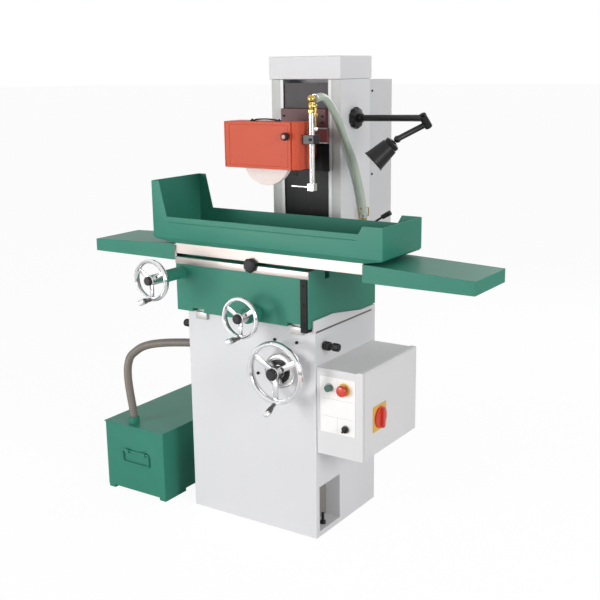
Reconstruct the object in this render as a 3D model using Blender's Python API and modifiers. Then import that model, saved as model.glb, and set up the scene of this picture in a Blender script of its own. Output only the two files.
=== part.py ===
"""Manual surface grinder with its coolant tank, in metres. +Z is up, +X is to the operator's right, and the
operator stands at -Y. The origin is at the middle of the base cabinet's footprint, on the floor."""

from math import asin, cos, pi, sin, tau

import bmesh
import bpy
from mathutils import Matrix, Vector

for old in list(bpy.data.objects):
    bpy.data.objects.remove(old)

# ---------------------------------------------------------------- driving sizes
GAP = 0.0003  # between pieces that touch
RUNNING = 0.0003  # radial clearance of a shaft in its bore

BASE_W = 0.540
BASE_D = 0.406
BASE_H = 0.738
BASE_WALL = 0.014
BASE_FLOOR = 0.020
BASE_TOP = 0.018
RAIL_X = 0.2025  # cross ways, either side of the middle
RAIL_W = 0.050
RAIL_H = 0.034
RAIL_BACK = 0.150
RIM_T = 0.012
RIM_H = 0.020
NICHE_D = 0.060
NICHE_W = 0.135
NICHE_H = 0.166
NICHE_SETBACK = 0.020
NICHE_BOLT_IN = 0.025
NICHE_BOLT_BACK = 0.060
BOLT_R = 0.008
BOLT_NUT_R = 0.0135
BOLT_NUT_H = 0.013
BOLT_TOP = 0.062
DRAIN_Y = -0.115
DRAIN_BELOW = 0.135  # under the cabinet's top
DRAIN_BORE_R = 0.0163
DRAIN_BOSS_R = 0.024
DRAIN_BOSS_L = 0.012

COLUMN_W = 0.296
COLUMN_FRONT = 0.169
COLUMN_D = 0.210
COLUMN_H = 0.819
COLUMN_WALL = 0.014
CHANNEL_MOUTH = 0.0955  # half widths of the dovetail channel
CHANNEL_INNER = 0.112
DOVETAIL_D = 0.030
CHANNEL_D = 0.080
WEB_T = 0.013
CAP_H = 0.080
CAP_OVER = 0.004  # past the column's sides
CAP_WALL = 0.012
CAP_TOP = 0.004
REAR_D = 0.168
REAR_H = 0.692
REAR_DROP = 0.005  # its top below the column's
REAR_WALL = 0.003

HEAD_X = 0.008
HEAD_DROP = 0.2503
HEAD_UP = 0.085
HEAD_DOWN = 0.140
SLIDE_ABOVE = 0.148
SLIDE_BELOW = 0.072
SLIDE_FRONT = 0.019  # proud of the column
SLIDE_TAIL = 0.006
COVER_BACK = 0.0065  # cover plates behind the column's front
COVER_T = 0.003
COVER_TOP_SPARE = 0.004
LOWER_COVER_L = 0.315
QUILL_R = 0.055
QUILL_TAIL_R = 0.052
QUILL_FRONT = -0.047
QUILL_STEP = 0.100
QUILL_BACK = 0.280
MOTOR_R = 0.072
MOTOR_L = 0.215
SPINDLE_R = 0.0155
WHEEL_R = 0.100
WHEEL_W = 0.020
WHEEL_Y = -0.084
WHEEL_FLANGE_R = 0.040
FRONT_FLANGE_R = 0.036
FLANGE_T = 0.008
GUARD_LEFT = -0.131
GUARD_RIGHT = 0.160
GUARD_FRONT = -0.129
GUARD_BACK = -0.048
GUARD_ABOVE = 0.117
GUARD_BELOW = 0.040
GUARD_T = 0.004
GUARD_ROUND = 0.024
DOOR_T = 0.005
DOOR_RIGHT = 0.136
DOOR_PIN_R = 0.0035
GUARD_KNOB_X = 0.122
GUARD_KNOB_Z = 0.071
GUARD_KNOB_R = 0.0135
GUARD_KNOB_L = 0.020

SCREW_X = 0.0885
SCREW_Y = 0.232
SCREW_R = 0.011
SCREW_SPARE = 0.0573  # under the column's top
NUT_W = 0.040
NUT_H = 0.060

ELEV_X = 0.1665
ELEV_BELOW = 0.127  # shaft axis under the cabinet's top
SHAFT_R = 0.010
SPUR_TEETH = 39
SPUR_MODULE = 0.002
SPUR_W = 0.018
BEVEL_TEETH = 16
BEVEL_MODULE = 0.003
BEVEL_W = 0.010
ELEV_BEARING_L = 0.047
ELEV_BEARING_R = 0.027
ELEV_FLANGE_R = 0.040
ELEV_DIAL_R = 0.060
ELEV_DIAL_L = 0.020
BIG_WHEEL_R = 0.1005
BIG_RIM_R = 0.0092
BIG_GRIP_LEAN = 0.49  # radians

SADDLE_X = -0.0165
SADDLE_W = 0.562
SADDLE_FRONT = -0.229
SADDLE_BACK = 0.080
SADDLE_LIFT = 0.0215
SADDLE_H = 0.1935
SADDLE_ROOF = 0.058
SADDLE_WALL = 0.024
EAR_BACK = 0.214
EAR_IN = 0.165
EAR_H = 0.140
CROSS_FRONT_TRAVEL = 0.060
CROSS_X = 0.046
CROSS_UP = 0.0295  # screw axis over the saddle's underside
CROSS_SCREW_R = 0.010
CROSS_NUT_W = 0.052
CROSS_NUT_L = 0.040
CROSS_NUT_BACK = -0.004
CROSS_BEARING_L = 0.050
CROSS_BEARING_R = 0.028
CROSS_DIAL_R = 0.030
CROSS_DIAL_L = 0.018
SMALL_WHEEL_R = 0.066
SMALL_RIM_R = 0.0072

TABLE_X = 0.085
TABLE_W = 0.764
TABLE_FRONT = -0.228
TABLE_D = 0.225
TABLE_LIFT = 0.0113
TABLE_BAND = 0.0367
TABLE_TOP = 0.029
TABLE_INSET = 0.0125
TABLE_LEFT_TRAVEL = 0.330
TABLE_RIGHT_TRAVEL = 0.140
WAY_V_Y = -0.180
WAY_FLAT_Y = -0.045
WAY_W = 0.024
WAY_H = 0.022
TSLOT_SPACING = 0.060
TSLOT_W = 0.012
TSLOT_HEAD_W = 0.022
TSLOT_NECK = 0.011
TSLOT_HEAD = 0.009

RACK_MODULE = 0.002
PINION_TEETH = 20
RACK_Y = -0.115
RACK_W = 0.024
RACK_BODY = 0.0435
PINION_X = -0.270
TABLE_SHAFT_R = 0.008
TABLE_WHEEL_Y = -0.391
TABLE_WHEEL_R = 0.066
TABLE_RIM_R = 0.0072
TABLE_BEARING_L = 0.095
TABLE_BEARING_R = 0.0215

TRAY_HALF = 0.4625
TRAY_FRONT = -0.250
TRAY_BACK = 0.014
TRAY_SKIRT = 0.0127
TRAY_WALL = 0.003
TRAY_LEFT_H = 0.206
TRAY_LOW_H = 0.082
TRAY_RIGHT_H = 0.108
TRAY_SLANT = 0.030
TRAY_LEFT_RETURN = 0.034
TRAY_RIGHT_RETURN = 0.072
TRAY_RIGHT_SLANT = 0.015

WING_L = 0.380
WING_FRONT = -0.236
WING_BACK = -0.006
WING_DROP = 0.014
WING_LIP = 0.060
WING_BACK_LIP = 0.043
WING_T = 0.003

PIPE_X = 0.188
PIPE_Y = -0.084
PIPE_R = 0.0095
PIPE_BELOW = 0.098
PIPE_ABOVE = 0.146
NOZZLE_BLOCK = 0.024
NOZZLE_R = 0.005
NOZZLE_L = 0.070
CLAMP_W = 0.036
CLAMP_H = 0.030
CLAMP_UP = 0.060
VALVE_L = 0.058
VALVE_R = 0.012
VALVE_BALL_R = 0.0135
VALVE_LEVER_L = 0.070
HOSE_R = 0.0135
FITTING_Y = 0.298
FITTING_Z = 1.020
FITTING_L = 0.034
LEVER_BALL_L = 0.034

LAMP_Y = 0.260
LAMP_DROP = 0.1373
LAMP_BASE_R = 0.039
LAMP_BASE_T = 0.022
LAMP_ARM_R = 0.0115
LAMP_ELBOW_AT = (0.464, 0.197, -0.002)  # the last number of each is over the base's middle
LAMP_NECK_AT = (0.385, 0.147, -0.062)
LAMP_MOUTH_AT = (0.318, 0.097, -0.137)
SHADE_NECK_R = 0.027
SHADE_MOUTH_R = 0.041
SHADE_T = 0.002
NECK_BALL_R = 0.0125
KNUCKLE_R = 0.014
KNUCKLE_L = 0.026

BOX_W = 0.178
BOX_FRONT = -0.197
BOX_D = 0.384
BOX_H = 0.305
BOX_BELOW = 0.113  # its top under the cabinet's top
BOX_WALL = 0.003
BOX_DOOR_T = 0.016
BOX_FRAME = 0.012
PANEL_IN = 0.0157
PANEL_W = 0.135
PANEL_H = 0.196
PANEL_DOWN = 0.026
PANEL_T = 0.002
BUTTON_R = 0.0125
BUTTON_TRAVEL = 0.004
STOP_TRAVEL = 0.005
SWITCH_R = 0.038
SWITCH_Y = -0.083
SWITCH_Z_UP = 0.127

KNOB_Y = -0.150
KNOB_BELOW = 0.050
KNOB_R = 0.016

TANK_LEFT = -0.667
TANK_W = 0.290
TANK_FRONT = -0.255
TANK_D = 0.527
TANK_FOOT = 0.012
TANK_H = 0.260
TANK_T = 0.003
FOOT_L = 0.120
FOOT_W = 0.030
COLLAR_X = -0.553
COLLAR_Y = -0.216
COLLAR_R = 0.021
COLLAR_H = 0.028
DRAIN_HOSE_R = 0.0155
BAIL_W = 0.130
BAIL_H = 0.048
BAIL_R = 0.0032
BAIL_X = -0.514
BAIL_Z = 0.174

# routes of the two hoses, chosen by hand
COOLANT_ROUTE = (
    (0.188, -0.0690, 1.4980),
    (0.188, -0.0590, 1.4980),
    (0.188, -0.0450, 1.5010),
    (0.188, -0.0280, 1.5030),
    (0.187, -0.0080, 1.5005),
    (0.186, 0.0130, 1.4925),
    (0.184, 0.0370, 1.4780),
    (0.182, 0.0600, 1.4590),
    (0.179, 0.0900, 1.4300),
    (0.175, 0.1250, 1.3940),
    (0.172, 0.1600, 1.3520),
    (0.170, 0.1940, 1.3050),
    (0.169, 0.2260, 1.2550),
    (0.168, 0.2520, 1.2020),
    (0.168, 0.2740, 1.1500),
    (0.168, 0.2890, 1.1000),
    (0.168, 0.2960, 1.0760),
    (0.168, 0.2980, 1.0640),
    (0.168, 0.2980, 1.0545),
)
DRAIN_ROUTE = (
    (-0.5530, -0.2160, 0.2790),
    (-0.5530, -0.2160, 0.3100),
    (-0.5600, -0.2170, 0.3600),
    (-0.5680, -0.2170, 0.4100),
    (-0.5740, -0.2150, 0.4550),
    (-0.5770, -0.2090, 0.4950),
    (-0.5720, -0.1990, 0.5300),
    (-0.5580, -0.1870, 0.5490),
    (-0.5350, -0.1740, 0.5675),
    (-0.5050, -0.1610, 0.5795),
    (-0.4700, -0.1490, 0.5870),
    (-0.4300, -0.1390, 0.5930),
    (-0.3850, -0.1300, 0.5980),
    (-0.3400, -0.1220, 0.6020),
    (-0.3000, -0.1165, 0.6030),
    (-0.2720, -0.1150, 0.6030),
    (-0.2620, -0.1150, 0.6030),
)

# ---------------------------------------------------------------- places worked out from the sizes
BASE_FRONT = -BASE_D / 2
BASE_BACK = BASE_D / 2
COLUMN_Z0 = BASE_H + GAP
COLUMN_Z1 = COLUMN_Z0 + COLUMN_H
HEAD_Z = COLUMN_Z1 - HEAD_DROP
SCREW_TOP = COLUMN_Z1 - SCREW_SPARE
LAMP_Z = COLUMN_Z1 - LAMP_DROP
LAMP_ELBOW = Vector(LAMP_ELBOW_AT) + Vector((0, 0, LAMP_Z))
LAMP_NECK = Vector(LAMP_NECK_AT) + Vector((0, 0, LAMP_Z))
LAMP_MOUTH = Vector(LAMP_MOUTH_AT) + Vector((0, 0, LAMP_Z))
COLUMN_BACK = COLUMN_FRONT + COLUMN_D
CHANNEL_BACK = COLUMN_FRONT + CHANNEL_D
SADDLE_Z0 = BASE_H + SADDLE_LIFT
SADDLE_Z1 = SADDLE_Z0 + SADDLE_H
SADDLE_LEFT = SADDLE_X - SADDLE_W / 2
SADDLE_RIGHT = SADDLE_X + SADDLE_W / 2
TABLE_Z0 = SADDLE_Z1 + TABLE_LIFT
TABLE_SHOULDER = TABLE_Z0 + TABLE_BAND
TABLE_Z1 = TABLE_SHOULDER + TABLE_TOP
TABLE_LEFT = TABLE_X - TABLE_W / 2
TABLE_RIGHT = TABLE_X + TABLE_W / 2
TABLE_BACK = TABLE_FRONT + TABLE_D
TRAY_Z0 = TABLE_SHOULDER + GAP
TRAY_EDGE = TRAY_Z0 + TRAY_SKIRT
GUARD_TOP = HEAD_Z + GUARD_ABOVE
GUARD_BOTTOM = HEAD_Z - GUARD_BELOW
ELEV_Z = BASE_H - ELEV_BELOW
CROSS_Z = SADDLE_Z0 + CROSS_UP
PINION_R = PINION_TEETH * RACK_MODULE / 2
RACK_PITCH_Z = TABLE_Z0 - GAP - RACK_BODY - RACK_MODULE
PINION_Z = RACK_PITCH_Z - PINION_R
BIG_WHEEL_Y = BASE_FRONT - ELEV_BEARING_L - ELEV_DIAL_L - 0.018
SMALL_WHEEL_Y = SADDLE_FRONT - CROSS_BEARING_L - CROSS_DIAL_L - 0.016
BOX_LEFT = BASE_W / 2 + GAP
PANEL_X = BOX_LEFT + PANEL_IN
BOX_Z1 = BASE_H - BOX_BELOW
BOX_Z0 = BOX_Z1 - BOX_H
BOX_BACK = BOX_FRONT + BOX_D
TANK_Z1 = TANK_FOOT + TANK_H
TANK_RIGHT = TANK_LEFT + TANK_W
TANK_BACK = TANK_FRONT + TANK_D

X = Vector((1, 0, 0))
Y = Vector((0, 1, 0))
Z = Vector((0, 0, 1))

# ---------------------------------------------------------------- collections and finishes
grinder = bpy.data.collections.new("surface_grinder")
cutters = bpy.data.collections.new("cutters")
bpy.context.scene.collection.children.link(grinder)
bpy.context.scene.collection.children.link(cutters)


def finish(name, colour, roughness, metallic=0.0):
    material = bpy.data.materials.new(name)
    material.use_nodes = True
    shader = material.node_tree.nodes["Principled BSDF"]
    shader.inputs["Base Color"].default_value = (*colour, 1)
    shader.inputs["Roughness"].default_value = roughness
    shader.inputs["Metallic"].default_value = metallic
    return material


LIGHT_GREY = finish("light grey paint", (0.66, 0.66, 0.67), 0.45)
GREEN = finish("green paint", (0.06, 0.30, 0.22), 0.40)
RED = finish("orange red paint", (0.68, 0.07, 0.03), 0.35)
MAROON = finish("maroon paint", (0.10, 0.015, 0.015), 0.45)
DARK = finish("dark grey paint", (0.07, 0.065, 0.07), 0.5)
STEEL = finish("ground steel", (0.62, 0.60, 0.58), 0.3, 1.0)
CHROME = finish("chrome", (0.75, 0.75, 0.76), 0.12, 1.0)
BRASS = finish("brass", (0.75, 0.55, 0.22), 0.28, 1.0)
BLACK = finish("black plastic", (0.015, 0.015, 0.017), 0.4)
HOSE = finish("clear hose", (0.38, 0.45, 0.35), 0.3)
TAUPE = finish("drain hose rubber", (0.22, 0.19, 0.165), 0.5)
GRIT = finish("ceramic grit", (0.85, 0.72, 0.66), 0.9)
WHITE = finish("white panel", (0.85, 0.85, 0.86), 0.4)
YELLOW_RED = finish("red plastic", (0.65, 0.04, 0.02), 0.35)
GREEN_LENS = finish("green plastic", (0.03, 0.22, 0.12), 0.3)


# ---------------------------------------------------------------- making shapes
def add(name, mesh, paint, at=(0, 0, 0)):
    """A mesh in world coordinates becomes an object whose origin is at the point given."""
    mesh.transform(Matrix.Translation(-Vector(at)))
    thing = bpy.data.objects.new(name, mesh)
    thing.location = at
    grinder.objects.link(thing)
    if paint:
        mesh.materials.append(paint)
    return thing


def mesh_of(form, name):
    mesh = bpy.data.meshes.new(name)
    form.to_mesh(mesh)
    form.free()
    return mesh


def box(name, low, high, paint=None, at=(0, 0, 0), inset=(0, 0)):
    """A box between two corners. inset draws its underside in by that much on each side, along X and Y."""
    form = bmesh.new()
    bmesh.ops.create_cube(form, size=1)
    low = Vector(low)
    size = Vector(high) - low
    for vert in form.verts:
        under = vert.co.z < 0
        pull = [-2 * vert.co[i] * inset[i] if under else 0 for i in (0, 1)]
        vert.co = Vector([low[i] + size[i] * (vert.co[i] + 0.5) for i in range(3)])
        vert.co.x += pull[0]
        vert.co.y += pull[1]
    return add(name, mesh_of(form, name), paint, at)


def along(start, direction):
    """The matrix that carries the Z axis to a line from start."""
    turn = Z.rotation_difference(Vector(direction)).to_matrix().to_4x4()
    return Matrix.Translation(Vector(start)) @ turn


def rod(name, start, end, radius, paint=None, at=(0, 0, 0), far_radius=None, sides=24):
    form = bmesh.new()
    way = Vector(end) - Vector(start)
    bmesh.ops.create_cone(
        form,
        cap_ends=True,
        segments=sides,
        radius1=radius,
        radius2=radius if far_radius is None else far_radius,
        depth=way.length,
    )
    form.transform(along(start, way) @ Matrix.Translation((0, 0, way.length / 2)))
    return add(name, mesh_of(form, name), paint, at)


def turned(name, profile, start, direction, paint=None, ring=False, steps=28):
    """Turns a profile of (radius, height) pairs, top first, about a line from start."""
    mesh = bpy.data.meshes.new(name)
    count = len(profile)
    edges = [(i, i + 1) for i in range(count - 1)]
    if ring:
        edges.append((count - 1, 0))
    mesh.from_pydata([(r, 0, h) for r, h in profile], edges, [])
    thing = bpy.data.objects.new(name, mesh)
    thing.matrix_world = along(start, direction)
    grinder.objects.link(thing)
    screw = thing.modifiers.new("turn", "SCREW")
    screw.steps = steps
    screw.render_steps = steps
    screw.use_merge_vertices = True
    screw.merge_threshold = 0.00001
    if paint:
        mesh.materials.append(paint)
    return thing


def drum(outer, inner, low, high):
    """The profile of a plain ring."""
    return [(outer, high), (outer, low), (inner, low), (inner, high)]


def realised(curve):
    """A curve object as a welded mesh object with the same name, place and finish."""
    graph = bpy.context.evaluated_depsgraph_get()
    mesh = bpy.data.meshes.new_from_object(curve.evaluated_get(graph))
    form = bmesh.new()
    form.from_mesh(mesh)
    bmesh.ops.remove_doubles(form, verts=form.verts, dist=0.000001)
    form.to_mesh(mesh)
    form.free()
    name = curve.name
    matrix = curve.matrix_world.copy()
    bpy.data.objects.remove(curve)
    thing = bpy.data.objects.new(name, mesh)
    thing.matrix_world = matrix
    grinder.objects.link(thing)
    return thing


def outline(name, loops, low, high, facing, paint=None):
    """Flat loops filled and drawn out from low to high. facing is "Z" for (x, y) points, "Y" for (x, z) and
    "X" for (y, z) points."""
    curve = bpy.data.curves.new(name, "CURVE")
    curve.dimensions = "2D"
    curve.fill_mode = "BOTH"
    curve.extrude = (high - low) / 2
    for loop in loops:
        spline = curve.splines.new("POLY")
        spline.points.add(len(loop) - 1)
        for point, (a, b) in zip(spline.points, loop):
            point.co = (a, b, 0, 1)
        spline.use_cyclic_u = True
    if paint:
        curve.materials.append(paint)
    thing = bpy.data.objects.new(name, curve)
    grinder.objects.link(thing)
    middle = (low + high) / 2
    turns = {
        "Z": Matrix.Translation((0, 0, middle)),
        "Y": Matrix(((1, 0, 0, 0), (0, 0, -1, middle), (0, 1, 0, 0), (0, 0, 0, 1))),
        "X": Matrix(((0, 0, 1, middle), (1, 0, 0, 0), (0, 1, 0, 0), (0, 0, 0, 1))),
    }
    thing.matrix_world = turns[facing]
    bpy.context.view_layer.update()
    return realised(thing)


def tube(name, points, radius, paint, closed=False, resolution=2):
    curve = bpy.data.curves.new(name, "CURVE")
    curve.dimensions = "3D"
    curve.bevel_depth = radius
    curve.bevel_resolution = resolution
    curve.use_fill_caps = not closed
    spline = curve.splines.new("POLY")
    spline.points.add(len(points) - 1)
    for point, place in zip(spline.points, points):
        point.co = (*place, 1)
    spline.use_cyclic_u = closed
    curve.materials.append(paint)
    thing = bpy.data.objects.new(name, curve)
    grinder.objects.link(thing)
    return thing


def smooth_route(route, spacing):
    """Points about a spacing apart on one smooth curve through the route's own points."""
    points = [Vector(p) for p in route]
    ends = [2 * points[0] - points[1], *points, 2 * points[-1] - points[-2]]
    found = [points[0]]
    for before, a, b, after in zip(ends, ends[1:], ends[2:], ends[3:]):
        parts = max(1, round((b - a).length / spacing))
        for k in range(1, parts + 1):
            t = k / parts
            pull = (b - before) * t + (2 * before - 5 * a + 4 * b - after) * t * t
            found.append(a + (pull + (3 * a - before - 3 * b + after) * t**3) / 2)
    return found


def combine(target, others, operation):
    for other in others:
        for home in list(other.users_collection):
            home.objects.unlink(other)
        cutters.objects.link(other)
        other.hide_render = True
        other.display_type = "WIRE"
        step = target.modifiers.new(operation.lower(), "BOOLEAN")
        step.operation = operation
        step.object = other
        step.solver = "EXACT"
    return target


def cut(target, *others):
    return combine(target, others, "DIFFERENCE")


def fuse(target, *others):
    return combine(target, others, "UNION")


def gear(name, teeth, module, start, direction, width, paint=None, shrink=1.0, turn=0.0):
    """A toothed disc on a line from start. shrink narrows the far face of a bevel. turn is in teeth."""
    radius = teeth * module / 2
    tip = radius + 0.8 * module
    root = radius - 1.1 * module
    form = bmesh.new()
    corners = ((root, -0.27), (tip, -0.13), (tip, 0.13), (root, 0.27))
    ring = []
    for tooth in range(teeth):
        for reach, side in corners:
            angle = (tooth + side + turn) * tau / teeth
            ring.append(form.verts.new((reach * cos(angle), reach * sin(angle), 0)))
    face = form.faces.new(ring)
    made = bmesh.ops.extrude_face_region(form, geom=[face])
    for vert in made["geom"]:
        if isinstance(vert, bmesh.types.BMVert):
            vert.co = Vector((vert.co.x * shrink, vert.co.y * shrink, width))
    bmesh.ops.recalc_face_normals(form, faces=form.faces)
    form.transform(along(start, direction))
    return add(name, mesh_of(form, name), paint, start)


def handwheel(name, centre, radius, rim_r, hub_r, hub_front, hub_back, bore, spokes, paint):
    """A rim, a hub and flat spokes, given as angles from straight down, clockwise for the operator."""
    bpy.ops.mesh.primitive_torus_add(
        major_segments=36,
        minor_segments=10,
        major_radius=radius,
        minor_radius=rim_r,
        location=centre,
        rotation=(pi / 2, 0, 0),
    )
    wheel = bpy.context.object
    wheel.name = name
    for home in list(wheel.users_collection):
        home.objects.unlink(wheel)
    grinder.objects.link(wheel)
    wheel.data.materials.append(paint)
    centre = Vector(centre)
    hub = rod(name + "_hub", centre - Y * hub_front, centre + Y * hub_back, hub_r)
    arms = []
    for angle in spokes:
        out = Vector((-sin(angle), 0, -cos(angle)))
        arm = rod(f"{name}_arm", centre, centre + out * radius, rim_r * 1.1, far_radius=rim_r * 0.8, sides=8)
        arms.append(arm)
    hole = rod(name + "_bore", centre - Y * 0.1, centre + Y * 0.1, bore + RUNNING)
    return cut(fuse(wheel, hub, *arms), hole)


def crank_grip(name, wheel_centre, wheel_r, rim_r, length, paint, lean=0.0):
    """A revolving handle on the rim's lowest point. It points to the operator, and leans down by an angle."""
    foot = Vector(wheel_centre) - Z * wheel_r
    way = -Y * cos(lean) - Z * sin(lean)
    start = foot + way * (rim_r + GAP)
    profile = [(0, length), (0.0075, length), (0.011, length - 0.004), (0.0105, 0.6 * length)]
    profile += [(0.0075, 0.006), (0.0075, 0), (0, 0)]
    return turned(name, profile, start, way, paint, steps=16)


# ---------------------------------------------------------------- base
def base_cabinet():
    half = BASE_W / 2
    body = box("base_cabinet", (-half, BASE_FRONT, 0), (half, BASE_BACK, BASE_H), LIGHT_GREY)
    column_half = COLUMN_W / 2
    sunk = 0.010
    pieces = [box("pedestal", (-column_half, BASE_BACK - 0.05, 0), (column_half, COLUMN_BACK, BASE_H))]
    for side in (-1, 1):
        rail = sorted((side * (RAIL_X - RAIL_W / 2), side * (RAIL_X + RAIL_W / 2)))
        pieces.append(
            box("rail", (rail[0], BASE_FRONT, BASE_H - sunk), (rail[1], RAIL_BACK, BASE_H + RAIL_H))
        )
        rim = sorted((side * (half - RIM_T), side * half))
        pieces.append(
            box("rim", (rim[0], BASE_FRONT, BASE_H - sunk), (rim[1], BASE_BACK, BASE_H + RIM_H))
        )
    pieces.append(
        box("front_rim", (-half, BASE_FRONT, BASE_H - sunk), (half, BASE_FRONT + RIM_T, BASE_H + RIM_H))
    )
    fuse(body, *pieces)
    cavity_top = BASE_H - BASE_TOP
    cabinet_cavity = box(
        "cabinet_cavity",
        (-half + BASE_WALL, BASE_FRONT + BASE_WALL, BASE_FLOOR),
        (half - BASE_WALL, BASE_BACK - BASE_WALL, cavity_top),
    )
    pedestal_cavity = box(
        "pedestal_cavity",
        (-column_half + BASE_WALL, BASE_BACK, BASE_FLOOR),
        (column_half - BASE_WALL, COLUMN_BACK - BASE_WALL, cavity_top),
    )
    cut(body, cabinet_cavity, pedestal_cavity)
    for side in (-1, 1):
        front = BASE_FRONT + NICHE_SETBACK
        inner = half - NICHE_D
        block = sorted((side * (inner - BASE_WALL), side * (half - BASE_WALL / 2)))
        niche = sorted((side * inner, side * (half + 0.01)))
        fuse(
            body,
            box(
                "niche_block",
                (block[0], front - BASE_WALL, BASE_FLOOR / 2),
                (block[1], front + NICHE_W + BASE_WALL, BASE_FLOOR + NICHE_H + BASE_WALL),
            ),
        )
        bolt = Vector((side * (half - NICHE_BOLT_IN), front + NICHE_BOLT_BACK, 0))
        cut(
            body,
            box(
                "niche",
                (niche[0], front, BASE_FLOOR),
                (niche[1], front + NICHE_W, BASE_FLOOR + NICHE_H),
            ),
            rod("bolt_hole", bolt - Z * 0.01, bolt + Z * (BASE_FLOOR + 0.01), BOLT_R + 0.0005),
        )
        stud = rod(
            "levelling_bolt_" + ("left" if side < 0 else "right"),
            bolt + Z * 0.0005,
            bolt + Z * BOLT_TOP,
            BOLT_R,
            BLACK,
            sides=16,
        )
        nut = rod(
            "nut",
            bolt + Z * (BASE_FLOOR + GAP),
            bolt + Z * (BASE_FLOOR + GAP + BOLT_NUT_H),
            BOLT_NUT_R,
            sides=6,
        )
        fuse(stud, nut)
    wall_y = BASE_FRONT + BASE_WALL
    transfer = Vector((SCREW_X, 0, ELEV_Z))
    boss = rod("transfer_boss", transfer + Y * (wall_y - 0.005), transfer + Y * (wall_y + 0.012), 0.018)
    drain = Vector((-half, DRAIN_Y, BASE_H - DRAIN_BELOW))
    drain_boss = rod("drain_boss", drain - X * DRAIN_BOSS_L, drain + X * 0.005, DRAIN_BOSS_R)
    fuse(body, boss, drain_boss)
    elev = Vector((ELEV_X, 0, ELEV_Z))
    flange = Vector((ELEV_X, BASE_FRONT, ELEV_Z))
    fuse(
        body,
        rod("bearing_flange", flange - Y * 0.009, flange + Y * 0.005, ELEV_FLANGE_R, sides=32),
        rod(
            "bearing_housing",
            flange - Y * (ELEV_BEARING_L - GAP),
            flange + Y * 0.004,
            ELEV_BEARING_R,
            sides=32,
        ),
    )
    screw = Vector((SCREW_X, SCREW_Y, 0))
    cut(
        body,
        rod("elevating_bore", elev + Y * (BASE_FRONT - 0.1), elev + Y * (wall_y + 0.01), SHAFT_R + RUNNING),
        rod(
            "transfer_bore",
            transfer + Y * (BASE_FRONT + 0.006),
            transfer + Y * (BASE_BACK + 0.01),
            TABLE_SHAFT_R + RUNNING,
        ),
        rod("screw_bore", screw + Z * (BASE_H - 0.05), screw + Z * (BASE_H + 0.01), SCREW_R + RUNNING),
        rod("drain_bore", drain - X * 0.05, drain + X * (BASE_WALL + 0.01), DRAIN_BORE_R),
    )
    return body


def side_lock_knobs():
    for side in (-1, 1):
        start = Vector((side * (BASE_W / 2 + GAP), KNOB_Y, BASE_H - KNOB_BELOW))
        profile = [
            (0, 0.062),
            (0.011, 0.062),
            (0.015, 0.058),
            (0.015, 0.038),
            (0.009, 0.034),
            (0.009, 0.030),
            (KNOB_R, 0.027),
            (KNOB_R, 0.004),
            (0.010, 0),
            (0, 0),
        ]
        name = "side_lock_knob_" + ("left" if side < 0 else "right")
        turned(name, profile, start, X * side, BLACK, steps=20)


# ---------------------------------------------------------------- elevating drive
def elevating_drive():
    axis = Vector((ELEV_X, 0, ELEV_Z))
    spur_y = BASE_FRONT + BASE_WALL + 0.014
    hub_end = BIG_WHEEL_Y - 0.012
    shaft = rod("elevating_shaft", axis + Y * hub_end, axis + Y * (spur_y + SPUR_W + 0.004), SHAFT_R, STEEL)
    fuse(shaft, gear("spur", SPUR_TEETH, SPUR_MODULE, axis + Y * spur_y, Y, SPUR_W))
    dial_front = BASE_FRONT - ELEV_BEARING_L - GAP
    dial = [
        (ELEV_DIAL_R - 0.006, ELEV_DIAL_L - GAP),
        (ELEV_DIAL_R, ELEV_DIAL_L - 0.005),
        (ELEV_DIAL_R, 0),
        (SHAFT_R + RUNNING, 0),
        (SHAFT_R + RUNNING, ELEV_DIAL_L - GAP),
    ]
    turned("elevating_dial", dial, axis + Y * dial_front, -Y, CHROME, ring=True)
    centre = axis + Y * BIG_WHEEL_Y
    wheel_back = dial_front - ELEV_DIAL_L - GAP - BIG_WHEEL_Y
    handwheel(
        "elevating_handwheel",
        centre,
        BIG_WHEEL_R,
        BIG_RIM_R,
        0.022,
        0.016,
        wheel_back,
        SHAFT_R,
        (0, tau / 3, -tau / 3),
        CHROME,
    )
    crank_grip("elevating_grip", centre, BIG_WHEEL_R, BIG_RIM_R, 0.062, CHROME, lean=BIG_GRIP_LEAN)

    # the second shaft turns the other way, and its bevel gear drives the screw
    second = Vector((SCREW_X, 0, ELEV_Z))
    bevel_r = BEVEL_TEETH * BEVEL_MODULE / 2
    shrink = (bevel_r - BEVEL_W) / bevel_r
    bevel_y = SCREW_Y - bevel_r
    transfer = rod(
        "transfer_shaft",
        second + Y * (BASE_FRONT + 0.007),
        second + Y * (bevel_y + BEVEL_W / 2),
        TABLE_SHAFT_R,
        STEEL,
    )
    fuse(
        transfer,
        gear("spur_second", SPUR_TEETH, SPUR_MODULE, second + Y * spur_y, Y, SPUR_W),
        gear("bevel", BEVEL_TEETH, BEVEL_MODULE, second + Y * bevel_y, Y, BEVEL_W, shrink=shrink),
    )
    apex = Vector((SCREW_X, SCREW_Y, ELEV_Z))
    screw = rod(
        "elevating_screw",
        apex + Z * (bevel_r - BEVEL_W / 2),
        Vector((SCREW_X, SCREW_Y, SCREW_TOP)),
        SCREW_R,
        STEEL,
    )
    fuse(
        screw,
        gear(
            "screw_bevel",
            BEVEL_TEETH,
            BEVEL_MODULE,
            apex + Z * bevel_r,
            -Z,
            BEVEL_W,
            shrink=shrink,
            turn=0.5,
        ),
    )


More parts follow.
